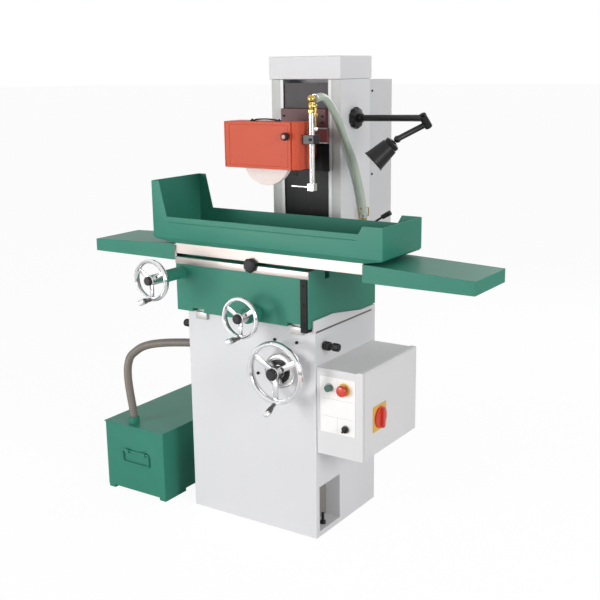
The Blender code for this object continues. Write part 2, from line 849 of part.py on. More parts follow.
# ---------------------------------------------------------------- column
def column():
    half = COLUMN_W / 2
    dovetail_y = COLUMN_FRONT + DOVETAIL_D
    section = [
        (-half, COLUMN_FRONT),
        (-CHANNEL_MOUTH, COLUMN_FRONT),
        (-CHANNEL_INNER, dovetail_y),
        (-CHANNEL_INNER, CHANNEL_BACK),
        (CHANNEL_INNER, CHANNEL_BACK),
        (CHANNEL_INNER, dovetail_y),
        (CHANNEL_MOUTH, COLUMN_FRONT),
        (half, COLUMN_FRONT),
        (half, COLUMN_BACK),
        (-half, COLUMN_BACK),
    ]
    inner = half - COLUMN_WALL
    hollow = [
        (-inner, CHANNEL_BACK + WEB_T),
        (inner, CHANNEL_BACK + WEB_T),
        (inner, COLUMN_BACK - COLUMN_WALL),
        (-inner, COLUMN_BACK - COLUMN_WALL),
    ]
    body = outline("column", [section, hollow], COLUMN_Z0, COLUMN_Z1, "Z", LIGHT_GREY)
    quill_half = QUILL_TAIL_R + 0.006
    motor_half = MOTOR_R + 0.008
    web_window = box(
        "web_window",
        (HEAD_X - quill_half, CHANNEL_BACK - 0.01, HEAD_Z - HEAD_DOWN - quill_half),
        (HEAD_X + quill_half, CHANNEL_BACK + WEB_T + 0.01, HEAD_Z + HEAD_UP + quill_half),
    )
    rear_window = box(
        "rear_window",
        (HEAD_X - motor_half, COLUMN_BACK - COLUMN_WALL - 0.01, HEAD_Z - HEAD_DOWN - motor_half),
        (HEAD_X + motor_half, COLUMN_BACK + 0.01, HEAD_Z + HEAD_UP + motor_half),
    )
    return cut(body, web_window, rear_window)


def column_cap():
    half = COLUMN_W / 2 + CAP_OVER
    low = COLUMN_Z1 + GAP
    front = COLUMN_FRONT - 2 * CAP_OVER
    back = COLUMN_BACK + CAP_OVER
    cap = box("column_cap", (-half, front, low), (half, back, low + CAP_H), LIGHT_GREY)
    hollow = box(
        "cap_hollow",
        (-half + CAP_WALL, front + CAP_WALL, low - 0.01),
        (half - CAP_WALL, back - CAP_WALL, low + CAP_H - CAP_TOP),
    )
    return cut(cap, hollow)


def rear_cover():
    half = COLUMN_W / 2
    front = COLUMN_BACK + GAP
    high = COLUMN_Z1 - REAR_DROP
    low = high - REAR_H
    cover = box("rear_cover", (-half, front, low), (half, front + REAR_D, high), LIGHT_GREY)
    hollow = box(
        "rear_hollow",
        (-half + REAR_WALL, front - 0.01, low + REAR_WALL),
        (half - REAR_WALL, front + REAR_D - REAR_WALL, high - REAR_WALL),
    )
    return cut(cover, hollow)


# ---------------------------------------------------------------- wheelhead
def wheelhead():
    front = COLUMN_FRONT - SLIDE_FRONT
    dovetail_y = COLUMN_FRONT + DOVETAIL_D
    mouth = CHANNEL_MOUTH - GAP
    inner = CHANNEL_INNER - GAP
    back = dovetail_y + SLIDE_TAIL
    section = [
        (-mouth, front),
        (mouth, front),
        (mouth, COLUMN_FRONT),
        (inner, dovetail_y),
        (inner, back),
        (-inner, back),
        (-inner, dovetail_y),
        (-mouth, COLUMN_FRONT),
    ]
    low = HEAD_Z - SLIDE_BELOW
    high = HEAD_Z + SLIDE_ABOVE
    slide = outline("head_slide", [section], low, high, "Z", MAROON)
    nut = box(
        "elevating_nut",
        (SCREW_X - NUT_W / 2, back - 0.005, HEAD_Z),
        (min(SCREW_X + NUT_W / 2, inner), CHANNEL_BACK - 0.002, HEAD_Z + NUT_H),
    )
    fuse(slide, nut)
    quill = Vector((HEAD_X, 0, HEAD_Z))
    cut(
        slide,
        rod(
            "quill_bore", quill + Y * (front - 0.01), quill + Y * (back + 0.06), QUILL_TAIL_R + GAP, sides=32
        ),
        rod(
            "nut_bore",
            Vector((SCREW_X, SCREW_Y, HEAD_Z - 0.1)),
            Vector((SCREW_X, SCREW_Y, HEAD_Z + 0.2)),
            SCREW_R + RUNNING,
        ),
    )
    cover_y = COLUMN_FRONT + COVER_BACK
    cover_half = CHANNEL_MOUTH - 0.0005
    cover_top = COLUMN_Z1 + GAP + CAP_H - CAP_TOP - HEAD_UP - COVER_TOP_SPARE
    box(
        "upper_way_cover",
        (-cover_half, cover_y, high + GAP),
        (cover_half, cover_y + COVER_T, cover_top),
        DARK,
    )
    cover_low = low - GAP - LOWER_COVER_L
    box(
        "lower_way_cover", (-cover_half, cover_y, cover_low), (cover_half, cover_y + COVER_T, low - GAP), DARK
    )
    bore = SPINDLE_R + RUNNING
    profile = [
        (QUILL_R, -QUILL_FRONT),
        (QUILL_R, -QUILL_STEP),
        (QUILL_TAIL_R, -QUILL_STEP),
        (QUILL_TAIL_R, -QUILL_BACK),
        (bore, -QUILL_BACK),
        (bore, -QUILL_FRONT),
    ]
    turned("wheelhead", profile, quill, -Y, MAROON, ring=True, steps=32)
    motor_front = -QUILL_BACK - GAP
    motor = [
        (MOTOR_R - 0.004, motor_front),
        (MOTOR_R, motor_front - 0.004),
        (MOTOR_R, motor_front - MOTOR_L + 0.01),
        (MOTOR_R - 0.01, motor_front - MOTOR_L),
        (0, motor_front - MOTOR_L),
        (0, motor_front - 0.030),
        (bore, motor_front - 0.030),
        (bore, motor_front),
    ]
    turned("spindle_motor", motor, quill, -Y, DARK, ring=True, steps=24)


def spindle_and_wheel():
    axis = Vector((HEAD_X, 0, HEAD_Z))
    wheel_front = WHEEL_Y - WHEEL_W / 2
    wheel_back = WHEEL_Y + WHEEL_W / 2
    nose = wheel_front - FLANGE_T - 0.016
    profile = [
        (0, -nose),
        (SPINDLE_R, -nose),
        (SPINDLE_R, -wheel_back - GAP),
        (WHEEL_FLANGE_R, -wheel_back - GAP),
        (WHEEL_FLANGE_R, -wheel_back - GAP - FLANGE_T),
        (SPINDLE_R, -wheel_back - GAP - FLANGE_T),
        (SPINDLE_R, -QUILL_BACK - 0.024),
        (0, -QUILL_BACK - 0.024),
    ]
    turned("spindle", profile, axis, -Y, STEEL)
    bore = SPINDLE_R + RUNNING
    turned(
        "grinding_wheel", drum(WHEEL_R, bore, -wheel_back, -wheel_front), axis, -Y, GRIT, ring=True, steps=48
    )
    flange_back = wheel_front - GAP
    flange = turned(
        "wheel_flange",
        drum(FRONT_FLANGE_R, bore, -flange_back, -flange_back + FLANGE_T),
        axis,
        -Y,
        STEEL,
        ring=True,
    )
    nut = rod(
        "flange_nut", axis + Y * (flange_back - 0.006), axis + Y * (flange_back - 0.020), 0.024, sides=6
    )
    hole = rod("flange_bore", axis + Y * flange_back, axis + Y * (flange_back - 0.03), bore)
    cut(fuse(flange, nut), hole)


def wheel_guard():
    round_steps = 6
    corner_x = GUARD_RIGHT - GUARD_ROUND
    corner_y = GUARD_FRONT + GUARD_ROUND

    def section(shell):
        radius = GUARD_ROUND - shell
        arc = []
        for step in range(round_steps + 1):
            angle = -pi / 2 + step * pi / 2 / round_steps
            arc.append((corner_x + radius * cos(angle), corner_y + radius * sin(angle)))
        return arc

    outer = [(GUARD_LEFT, GUARD_FRONT), *section(0), (GUARD_RIGHT, GUARD_BACK), (GUARD_LEFT, GUARD_BACK)]
    guard = outline("wheel_guard", [outer], GUARD_BOTTOM, GUARD_TOP, "Z", RED)
    inner = [
        (GUARD_LEFT + GUARD_T, GUARD_FRONT - 0.01),
        (corner_x, GUARD_FRONT - 0.01),
        *section(GUARD_T),
        (GUARD_RIGHT - GUARD_T, GUARD_BACK - GUARD_T),
        (GUARD_LEFT + GUARD_T, GUARD_BACK - GUARD_T),
    ]
    hollow = outline("guard_hollow", [inner], GUARD_BOTTOM - 0.01, GUARD_TOP - GUARD_T, "Z")
    axis = Vector((HEAD_X, 0, HEAD_Z))
    mouth = rod("spindle_mouth", axis + Y * (GUARD_BACK - 0.02), axis + Y * (GUARD_BACK + 0.02), 0.024)
    cut(guard, hollow, mouth)
    # the door covers the flat of the front and hangs on a pin at its left edge
    door_back = GUARD_FRONT - GAP
    door_front = door_back - DOOR_T
    pin = Vector((GUARD_LEFT - DOOR_PIN_R, (door_back + door_front) / 2, 0))
    door = box(
        "guard_door",
        (GUARD_LEFT, door_front, GUARD_BOTTOM + GAP),
        (DOOR_RIGHT, door_back, GUARD_TOP - GAP),
        RED,
        at=(pin.x, pin.y, HEAD_Z),
    )
    hinge = rod("hinge_barrel", pin + Z * (HEAD_Z - 0.02), pin + Z * (HEAD_Z + 0.10), DOOR_PIN_R, sides=12)
    leaf = box(
        "hinge_leaf",
        (pin.x, pin.y - 0.002, HEAD_Z - 0.02),
        (GUARD_LEFT + 0.01, pin.y + 0.002, HEAD_Z + 0.10),
    )
    stem = Vector((GUARD_KNOB_X, 0, HEAD_Z + GUARD_KNOB_Z))
    hole = rod("knob_hole", stem + Y * (door_front - 0.01), stem + Y * (door_back + 0.01), 0.0044)
    cut(fuse(door, hinge, leaf), hole)
    profile = [
        (0, GUARD_KNOB_L),
        (GUARD_KNOB_R - 0.002, GUARD_KNOB_L),
        (GUARD_KNOB_R, GUARD_KNOB_L - 0.002),
        (GUARD_KNOB_R, 0.002),
        (GUARD_KNOB_R - 0.002, 0),
        (0.004, 0),
        (0.004, -DOOR_T),
        (0, -DOOR_T),
    ]
    turned("guard_knob", profile, stem + Y * (door_front - GAP), -Y, BLACK, steps=20)


# ---------------------------------------------------------------- coolant supply on the head
def nozzle():
    pipe = Vector((PIPE_X, PIPE_Y, 0))
    clamp_z = HEAD_Z + CLAMP_UP
    clamp = box(
        "nozzle_clamp",
        (GUARD_RIGHT + GAP, PIPE_Y - CLAMP_W / 2, clamp_z - CLAMP_H / 2),
        (PIPE_X + PIPE_R + 0.009, PIPE_Y + CLAMP_W / 2, clamp_z + CLAMP_H / 2),
        BLACK,
    )
    cut(clamp, rod("clamp_bore", pipe + Z * (clamp_z - 0.05), pipe + Z * (clamp_z + 0.05), PIPE_R + RUNNING))
    low = HEAD_Z - PIPE_BELOW
    high = HEAD_Z + PIPE_ABOVE
    body = rod("nozzle_pipe", pipe + Z * low, pipe + Z * high, PIPE_R, STEEL)
    size = NOZZLE_BLOCK / 2
    block = box(
        "nozzle_block",
        (PIPE_X - size, PIPE_Y - size, low - size),
        (PIPE_X + size, PIPE_Y + size, low + size),
    )
    jet_z = Z * low
    jet = rod(
        "jet",
        pipe + jet_z,
        pipe + jet_z - X * (size + NOZZLE_L),
        NOZZLE_R,
        far_radius=NOZZLE_R * 0.8,
        sides=12,
    )
    fuse(body, block, jet)
    base = pipe + Z * (high + GAP)
    # the hose leaves from the side of a ball on the pipe's own axis, so that the nozzle turns under it
    neck = VALVE_R * 0.85
    ball_end = pi - asin(neck / VALVE_BALL_R)
    profile = [(0, VALVE_L)]
    for step in range(1, 9):
        angle = ball_end * step / 8
        profile.append((VALVE_BALL_R * sin(angle), VALVE_L - VALVE_BALL_R + VALVE_BALL_R * cos(angle)))
    profile += [
        (neck, 0.016),
        (VALVE_R, 0.013),
        (VALVE_R, 0),
        (0, 0),
    ]
    valve = turned("coolant_valve", profile, base, Z, BRASS, steps=20)
    stem_z = Z * (high + 0.022)
    stem_x = PIPE_X + VALVE_R * 0.85
    stem = Vector((stem_x + 0.004, PIPE_Y, 0)) + stem_z
    fuse(valve, rod("valve_stem", pipe + stem_z, stem, 0.0045, sides=12))
    lever_x = stem.x + GAP
    lever = rod(
        "valve_lever",
        Vector((lever_x, PIPE_Y, 0)) + stem_z,
        Vector((lever_x + 0.005, PIPE_Y, 0)) + stem_z,
        0.007,
        BRASS,
        at=stem,
        sides=16,
    )
    blade = box(
        "lever_blade",
        (lever_x + 0.001, PIPE_Y - 0.003, stem.z - VALVE_LEVER_L),
        (lever_x + 0.004, PIPE_Y + 0.003, stem.z),
    )
    fuse(lever, blade)


def coolant_hose():
    tube("coolant_hose", smooth_route(COOLANT_ROUTE, HOSE_R * 2.2), HOSE_R, HOSE, resolution=3)


def supply_fitting():
    """A ball valve screwed to the column's side, which the coolant hose is pushed onto."""
    side = COLUMN_W / 2 + GAP
    axis = Vector((COOLANT_ROUTE[-1][0], FITTING_Y, 0))
    top = COOLANT_ROUTE[-1][2] - 0.0005
    profile = [
        (0, top),
        (0.0115, top),
        (0.0115, FITTING_Z + 0.012),
        (0.0175, FITTING_Z + 0.010),
        (0.0175, FITTING_Z - 0.016),
        (0.0110, FITTING_Z - 0.020),
        (0.0110, FITTING_Z - FITTING_L - 0.012),
        (0, FITTING_Z - FITTING_L - 0.012),
    ]
    body = turned("supply_valve", profile, axis, Z, BRASS, steps=20)
    bracket = box(
        "valve_bracket",
        (side, FITTING_Y - 0.016, FITTING_Z - 0.014),
        (axis.x, FITTING_Y + 0.016, FITTING_Z + 0.008),
    )
    stem_end = Vector((axis.x + 0.0235, FITTING_Y, FITTING_Z))
    fuse(body, bracket, rod("supply_stem", Vector((axis.x, FITTING_Y, FITTING_Z)), stem_end, 0.005, sides=12))
    hub = rod("supply_lever", stem_end + X * GAP, stem_end + X * 0.007, 0.009, BLACK, at=stem_end, sides=16)
    knee = stem_end + Vector((0.004, 0, 0.010))
    grip_start = stem_end + Vector((0.058, 0, 0.044))
    reach = Vector((0.027, 0, 0.0150)).normalized()
    shank = rod("lever_shank", knee, grip_start, 0.004, sides=10)
    grip = rod(
        "lever_grip",
        grip_start - reach * 0.004,
        grip_start + reach * LEVER_BALL_L,
        0.0085,
        far_radius=0.0095,
        sides=16,
    )
    fuse(hub, shank, grip)


# ---------------------------------------------------------------- lamp
def lamp():
    side = COLUMN_W / 2 + GAP
    start = Vector((side, LAMP_Y, LAMP_Z))
    profile = [
        (0, LAMP_BASE_T),
        (LAMP_BASE_R - 0.006, LAMP_BASE_T),
        (LAMP_BASE_R, LAMP_BASE_T - 0.005),
        (LAMP_BASE_R, 0.004),
        (LAMP_BASE_R - 0.004, 0),
        (0, 0),
    ]
    turned("lamp_base", profile, start, X, BLACK, steps=24)
    pivot = start + X * (LAMP_BASE_T + GAP)
    first = (LAMP_ELBOW - pivot).normalized()
    second = (LAMP_NECK - LAMP_ELBOW).normalized()
    third = (LAMP_MOUTH - LAMP_NECK).normalized()
    hinge = first.cross(second).normalized()
    arm = rod("lamp_lower_arm", pivot, pivot + X * 0.014, 0.016, BLACK, at=pivot, sides=20)
    elbow_gap = hinge * (KNUCKLE_L / 2 + GAP)
    stick = rod("stick", pivot + X * 0.008, LAMP_ELBOW - first * 0.004 - elbow_gap, LAMP_ARM_R, sides=16)
    knuckle = rod(
        "knuckle",
        LAMP_ELBOW - elbow_gap - hinge * KNUCKLE_L / 2,
        LAMP_ELBOW - hinge * GAP / 2,
        KNUCKLE_R,
        sides=20,
    )
    fuse(arm, stick, knuckle)
    upper = rod(
        "lamp_upper_arm",
        LAMP_ELBOW + hinge * GAP / 2,
        LAMP_ELBOW + elbow_gap + hinge * KNUCKLE_L / 2,
        KNUCKLE_R,
        BLACK,
        at=LAMP_ELBOW,
        sides=20,
    )
    neck_end = LAMP_NECK - second * NECK_BALL_R / 2
    fuse(upper, rod("upper_stick", LAMP_ELBOW + elbow_gap, neck_end, LAMP_ARM_R * 0.85, sides=16))
    arc = [(NECK_BALL_R * sin(k * pi / 8), NECK_BALL_R * cos(k * pi / 8)) for k in range(9)]
    fuse(upper, turned("neck_ball", arc, LAMP_NECK, third, steps=16))
    length = (LAMP_MOUTH - LAMP_NECK).length
    top = NECK_BALL_R + 0.0005
    shade = [
        (0, -top),
        (SHADE_NECK_R * 0.55, -top),
        (SHADE_NECK_R, -top - 0.008),
        (SHADE_NECK_R, -0.034),
        (SHADE_NECK_R + 0.003, -0.036),
        (SHADE_MOUTH_R, -length),
        (SHADE_MOUTH_R - SHADE_T, -length),
        (SHADE_NECK_R + 0.003 - SHADE_T, -0.038),
        (SHADE_NECK_R - SHADE_T, -0.034),
        (0, -0.030),
    ]
    turned("lamp_shade", shade, LAMP_NECK, -third, BLACK, steps=28)


# ---------------------------------------------------------------- saddle and cross feed
def saddle():
    body = box(
        "saddle", (SADDLE_LEFT, SADDLE_FRONT, SADDLE_Z0), (SADDLE_RIGHT, SADDLE_BACK, SADDLE_Z1), GREEN
    )
    ears = [
        box("ear", (EAR_IN, SADDLE_BACK - 0.01, SADDLE_Z0), (SADDLE_RIGHT, EAR_BACK, SADDLE_Z0 + EAR_H)),
        box("ear", (SADDLE_LEFT, SADDLE_BACK - 0.01, SADDLE_Z0), (-EAR_IN, EAR_BACK, SADDLE_Z0 + EAR_H)),
    ]
    ways = []
    for way_y in (WAY_V_Y, WAY_FLAT_Y):
        ways.append(
            box(
                "way",
                (SADDLE_LEFT, way_y - WAY_W / 2, SADDLE_Z1 - 0.01),
                (SADDLE_RIGHT, way_y + WAY_W / 2, SADDLE_Z1 + WAY_H),
            )
        )
    fuse(body, *ears, *ways)
    roof = SADDLE_Z1 - SADDLE_ROOF
    cavity = box(
        "saddle_cavity",
        (-EAR_IN, SADDLE_FRONT + SADDLE_WALL, SADDLE_Z0 - 0.01),
        (EAR_IN, SADDLE_BACK + 0.01, roof),
    )
    grooves = []
    for side in (-1, 1):
        edge = sorted((side * (RAIL_X - RAIL_W / 2 - GAP), side * (RAIL_X + RAIL_W / 2 + GAP)))
        grooves.append(
            box(
                "groove",
                (edge[0], SADDLE_FRONT - 0.01, SADDLE_Z0 - 0.01),
                (edge[1], EAR_BACK + 0.01, BASE_H + RAIL_H + GAP),
            )
        )
    rack_bottom = RACK_PITCH_Z - RACK_MODULE - 0.004
    rack_groove = box(
        "rack_groove",
        (SADDLE_LEFT - 0.01, RACK_Y - RACK_W / 2 - 0.002, rack_bottom),
        (SADDLE_RIGHT + 0.01, RACK_Y + RACK_W / 2 + 0.002, SADDLE_Z1 + 0.01),
    )
    pocket_half = PINION_R + RACK_MODULE + 0.001
    pinion_pocket = box(
        "pinion_pocket",
        (PINION_X - pocket_half, RACK_Y - RACK_W / 2 - 0.002, PINION_Z - pocket_half),
        (PINION_X + pocket_half, RACK_Y + RACK_W / 2 + 0.002, SADDLE_Z1 + 0.005),
    )
    pinion_axis = Vector((PINION_X, 0, PINION_Z))
    cross_axis = Vector((CROSS_X, 0, CROSS_Z))
    reach = CROSS_BEARING_L - GAP
    cross_boss = Vector((CROSS_X, SADDLE_FRONT, CROSS_Z))
    pinion_boss = Vector((PINION_X, SADDLE_FRONT, PINION_Z))
    fuse(
        body,
        rod("cross_bearing", cross_boss - Y * reach, cross_boss + Y * 0.005, CROSS_BEARING_R, sides=32),
        rod(
            "table_bearing",
            pinion_boss - Y * TABLE_BEARING_L,
            pinion_boss + Y * 0.005,
            TABLE_BEARING_R,
            sides=32,
        ),
    )
    cut(
        body,
        cavity,
        *grooves,
        rack_groove,
        pinion_pocket,
        rod(
            "shaft_bore",
            pinion_axis + Y * (SADDLE_FRONT - 0.1),
            pinion_axis + Y * (RACK_Y + 0.03),
            TABLE_SHAFT_R + RUNNING,
        ),
        rod(
            "cross_bore",
            cross_axis + Y * (SADDLE_FRONT - 0.1),
            cross_axis + Y * (SADDLE_FRONT + 0.05),
            CROSS_SCREW_R + RUNNING,
        ),
    )


def cross_feed():
    axis = Vector((CROSS_X, 0, CROSS_Z))
    bore = CROSS_SCREW_R + RUNNING
    dial_back = SADDLE_FRONT - CROSS_BEARING_L - GAP
    centre = axis + Y * SMALL_WHEEL_Y
    rod(
        "cross_screw",
        centre - Y * 0.010,
        axis + Y * (CROSS_FRONT_TRAVEL + CROSS_NUT_BACK),
        CROSS_SCREW_R,
        STEEL,
        at=axis,
    )
    wheel_back = dial_back - CROSS_DIAL_L / 2 - SMALL_WHEEL_Y
    wheel = handwheel(
        "cross_handwheel",
        centre,
        SMALL_WHEEL_R,
        SMALL_RIM_R,
        0.019,
        0.014,
        wheel_back,
        CROSS_SCREW_R,
        (0, tau / 3, -tau / 3),
        CHROME,
    )
    dial = [
        (CROSS_DIAL_R - 0.004, CROSS_DIAL_L),
        (CROSS_DIAL_R, CROSS_DIAL_L - 0.004),
        (CROSS_DIAL_R, 0),
        (bore, 0),
        (bore, CROSS_DIAL_L),
    ]
    fuse(wheel, turned("cross_dial", dial, axis + Y * dial_back, -Y, ring=True))
    crank_grip("cross_grip", centre, SMALL_WHEEL_R, SMALL_RIM_R, 0.070, CHROME)
    nut_top = CROSS_Z + 0.022
    half = CROSS_NUT_W / 2
    nut_back = CROSS_NUT_BACK
    nut = box(
        "cross_nut",
        (CROSS_X - half, nut_back - CROSS_NUT_L, BASE_H + GAP),
        (CROSS_X + half, nut_back, nut_top),
        BRASS,
    )
    cut(nut, rod("cross_nut_bore", axis - Y * 0.05, axis + Y * 0.05, bore))


# ---------------------------------------------------------------- table
def table():
    body = box("table", (TABLE_LEFT, TABLE_FRONT, TABLE_Z0), (TABLE_RIGHT, TABLE_BACK, TABLE_SHOULDER), STEEL)
    top = box(
        "table_upper",
        (TABLE_LEFT + TABLE_INSET, TABLE_FRONT + TABLE_INSET, TABLE_SHOULDER - 0.01),
        (TABLE_RIGHT - TABLE_INSET, TABLE_BACK - TABLE_INSET, TABLE_Z1),
    )
    fuse(body, top)
    grooves = []
    for way_y in (WAY_V_Y, WAY_FLAT_Y):
        grooves.append(
            box(
                "table_groove",
                (TABLE_LEFT - 0.01, way_y - WAY_W / 2 - GAP, TABLE_Z0 - 0.01),
                (TABLE_RIGHT + 0.01, way_y + WAY_W / 2 + GAP, SADDLE_Z1 + WAY_H + GAP),
            )
        )
    middle = TABLE_FRONT + TABLE_D / 2
    neck = TABLE_Z1 - TSLOT_NECK
    slots = []
    for step in (-1, 0, 1):
        at = middle + step * TSLOT_SPACING
        shape = [
            (at - TSLOT_W / 2, TABLE_Z1 + 0.01),
            (at - TSLOT_W / 2, neck),
            (at - TSLOT_HEAD_W / 2, neck),
            (at - TSLOT_HEAD_W / 2, neck - TSLOT_HEAD),
            (at + TSLOT_HEAD_W / 2, neck - TSLOT_HEAD),
            (at + TSLOT_HEAD_W / 2, neck),
            (at + TSLOT_W / 2, neck),
            (at + TSLOT_W / 2, TABLE_Z1 + 0.01),
        ]
        slots.append(outline("tslot", [shape], TABLE_LEFT - 0.01, TABLE_RIGHT + 0.01, "X"))
    cut(body, *grooves, *slots)


def table_drive():
    pitch = pi * RACK_MODULE
    left = -round((TABLE_RIGHT_TRAVEL + 0.030) / pitch)
    right = round((TABLE_LEFT_TRAVEL + 0.018) / pitch)
    high = TABLE_Z0 - GAP
    tip = RACK_PITCH_Z - 0.8 * RACK_MODULE
    root = RACK_PITCH_Z + 1.1 * RACK_MODULE
    teeth = []
    for tooth in range(left, right + 1):
        middle = PINION_X + tooth * pitch
        for side, level in ((-0.26, root), (-0.13, tip), (0.13, tip), (0.26, root)):
            teeth.append((middle + side * pitch, level))
    ends = [(teeth[-1][0], high), (teeth[0][0], high)]
    outline("table_rack", [teeth + ends], RACK_Y - RACK_W / 2, RACK_Y + RACK_W / 2, "Y", STEEL)
    axis = Vector((PINION_X, 0, PINION_Z))
    centre = axis + Y * TABLE_WHEEL_Y
    shaft = rod(
        "pinion_shaft", centre - Y * 0.008, axis + Y * (RACK_Y + RACK_W / 2), TABLE_SHAFT_R, STEEL, at=axis
    )
    # a gap of the pinion faces straight up, where the rack's own tooth hangs
    turn = PINION_TEETH / 4 + 0.5
    fuse(
        shaft,
        gear("pinion", PINION_TEETH, RACK_MODULE, axis + Y * (RACK_Y - RACK_W / 2), Y, RACK_W, turn=turn),
    )
    wheel_back = SADDLE_FRONT - TABLE_BEARING_L - GAP - TABLE_WHEEL_Y
    handwheel(
        "table_handwheel",
        centre,
        TABLE_WHEEL_R,
        TABLE_RIM_R,
        0.018,
        0.0135,
        wheel_back,
        TABLE_SHAFT_R,
        (0, tau / 3, -tau / 3),
        CHROME,
    )
    crank_grip("table_grip", centre, TABLE_WHEEL_R, TABLE_RIM_R, 0.058, CHROME)


def splash_guard():
    left = TABLE_X - TRAY_HALF
    right = TABLE_X + TRAY_HALF
    top = TRAY_EDGE + TRAY_LEFT_H
    tray = box("splash_guard", (left, TRAY_FRONT, TRAY_EDGE), (right, TRAY_BACK, top), GREEN)
    skirt = box(
        "skirt",
        (left, TRAY_FRONT, TRAY_Z0),
        (right, TRAY_BACK, TRAY_EDGE + 0.002),
        inset=(TRAY_HALF - TABLE_W / 2, min(TABLE_FRONT - TRAY_FRONT, TRAY_BACK - TABLE_BACK)),
    )
    fuse(tray, skirt)
    wall = TRAY_WALL
    inside = box(
        "tray_inside",
        (left + wall, TRAY_FRONT + wall, TRAY_EDGE + wall),
        (right - wall, TRAY_BACK - wall, top + 0.01),
    )
    room = TABLE_INSET - 0.0005
    hole = box(
        "table_hole",
        (TABLE_LEFT + room, TABLE_FRONT + room, TRAY_Z0 - 0.01),
        (TABLE_RIGHT - room, TABLE_BACK - room, top),
    )
    low = TRAY_EDGE + TRAY_LOW_H
    high_right = TRAY_EDGE + TRAY_RIGHT_H
    left_low = left + TRAY_LEFT_RETURN + TRAY_SLANT
    right_low = right - TRAY_RIGHT_RETURN - TRAY_RIGHT_SLANT
    profile = [
        (left + TRAY_LEFT_RETURN, top + 0.01),
        (left + TRAY_LEFT_RETURN, top),
        (left_low, low),
        (right_low, low),
        (right - TRAY_RIGHT_RETURN, high_right),
        (right + 0.01, high_right),
        (right + 0.01, top + 0.01),
    ]
    sky = outline("tray_profile", [profile], TRAY_FRONT - 0.01, TRAY_BACK + 0.01, "Y")
    cut(tray, inside, hole, sky)


def wings():
    for side in (-1, 1):
        root = TABLE_X + side * (TABLE_W / 2 + GAP)
        tip = root + side * WING_L
        high = TABLE_SHOULDER - 0.0015
        low = TABLE_SHOULDER - WING_LIP
        shape = [(root, high), (tip, high - WING_DROP), (tip, low), (root, low)]
        name = "left_wing" if side < 0 else "right_wing"
        wing = outline(name, [shape], WING_FRONT, WING_BACK, "Y", GREEN)
        inner_tip = tip - side * WING_T
        beyond = root - side * 0.01
        under = low - 0.01
        hollow = [
            (beyond, high - WING_T),
            (root, high - WING_T),
            (inner_tip, high - WING_DROP - WING_T),
            (inner_tip, under),
            (beyond, under),
        ]
        spans = sorted((beyond, inner_tip))
        cut(
            wing,
            outline("wing_hollow", [hollow], WING_FRONT + WING_T, WING_BACK - WING_T, "Y"),
            box(
                "back_lip_relief",
                (spans[0], WING_BACK - 2 * WING_T, under),
                (spans[1], WING_BACK + 0.01, high - WING_BACK_LIP),
            ),
        )


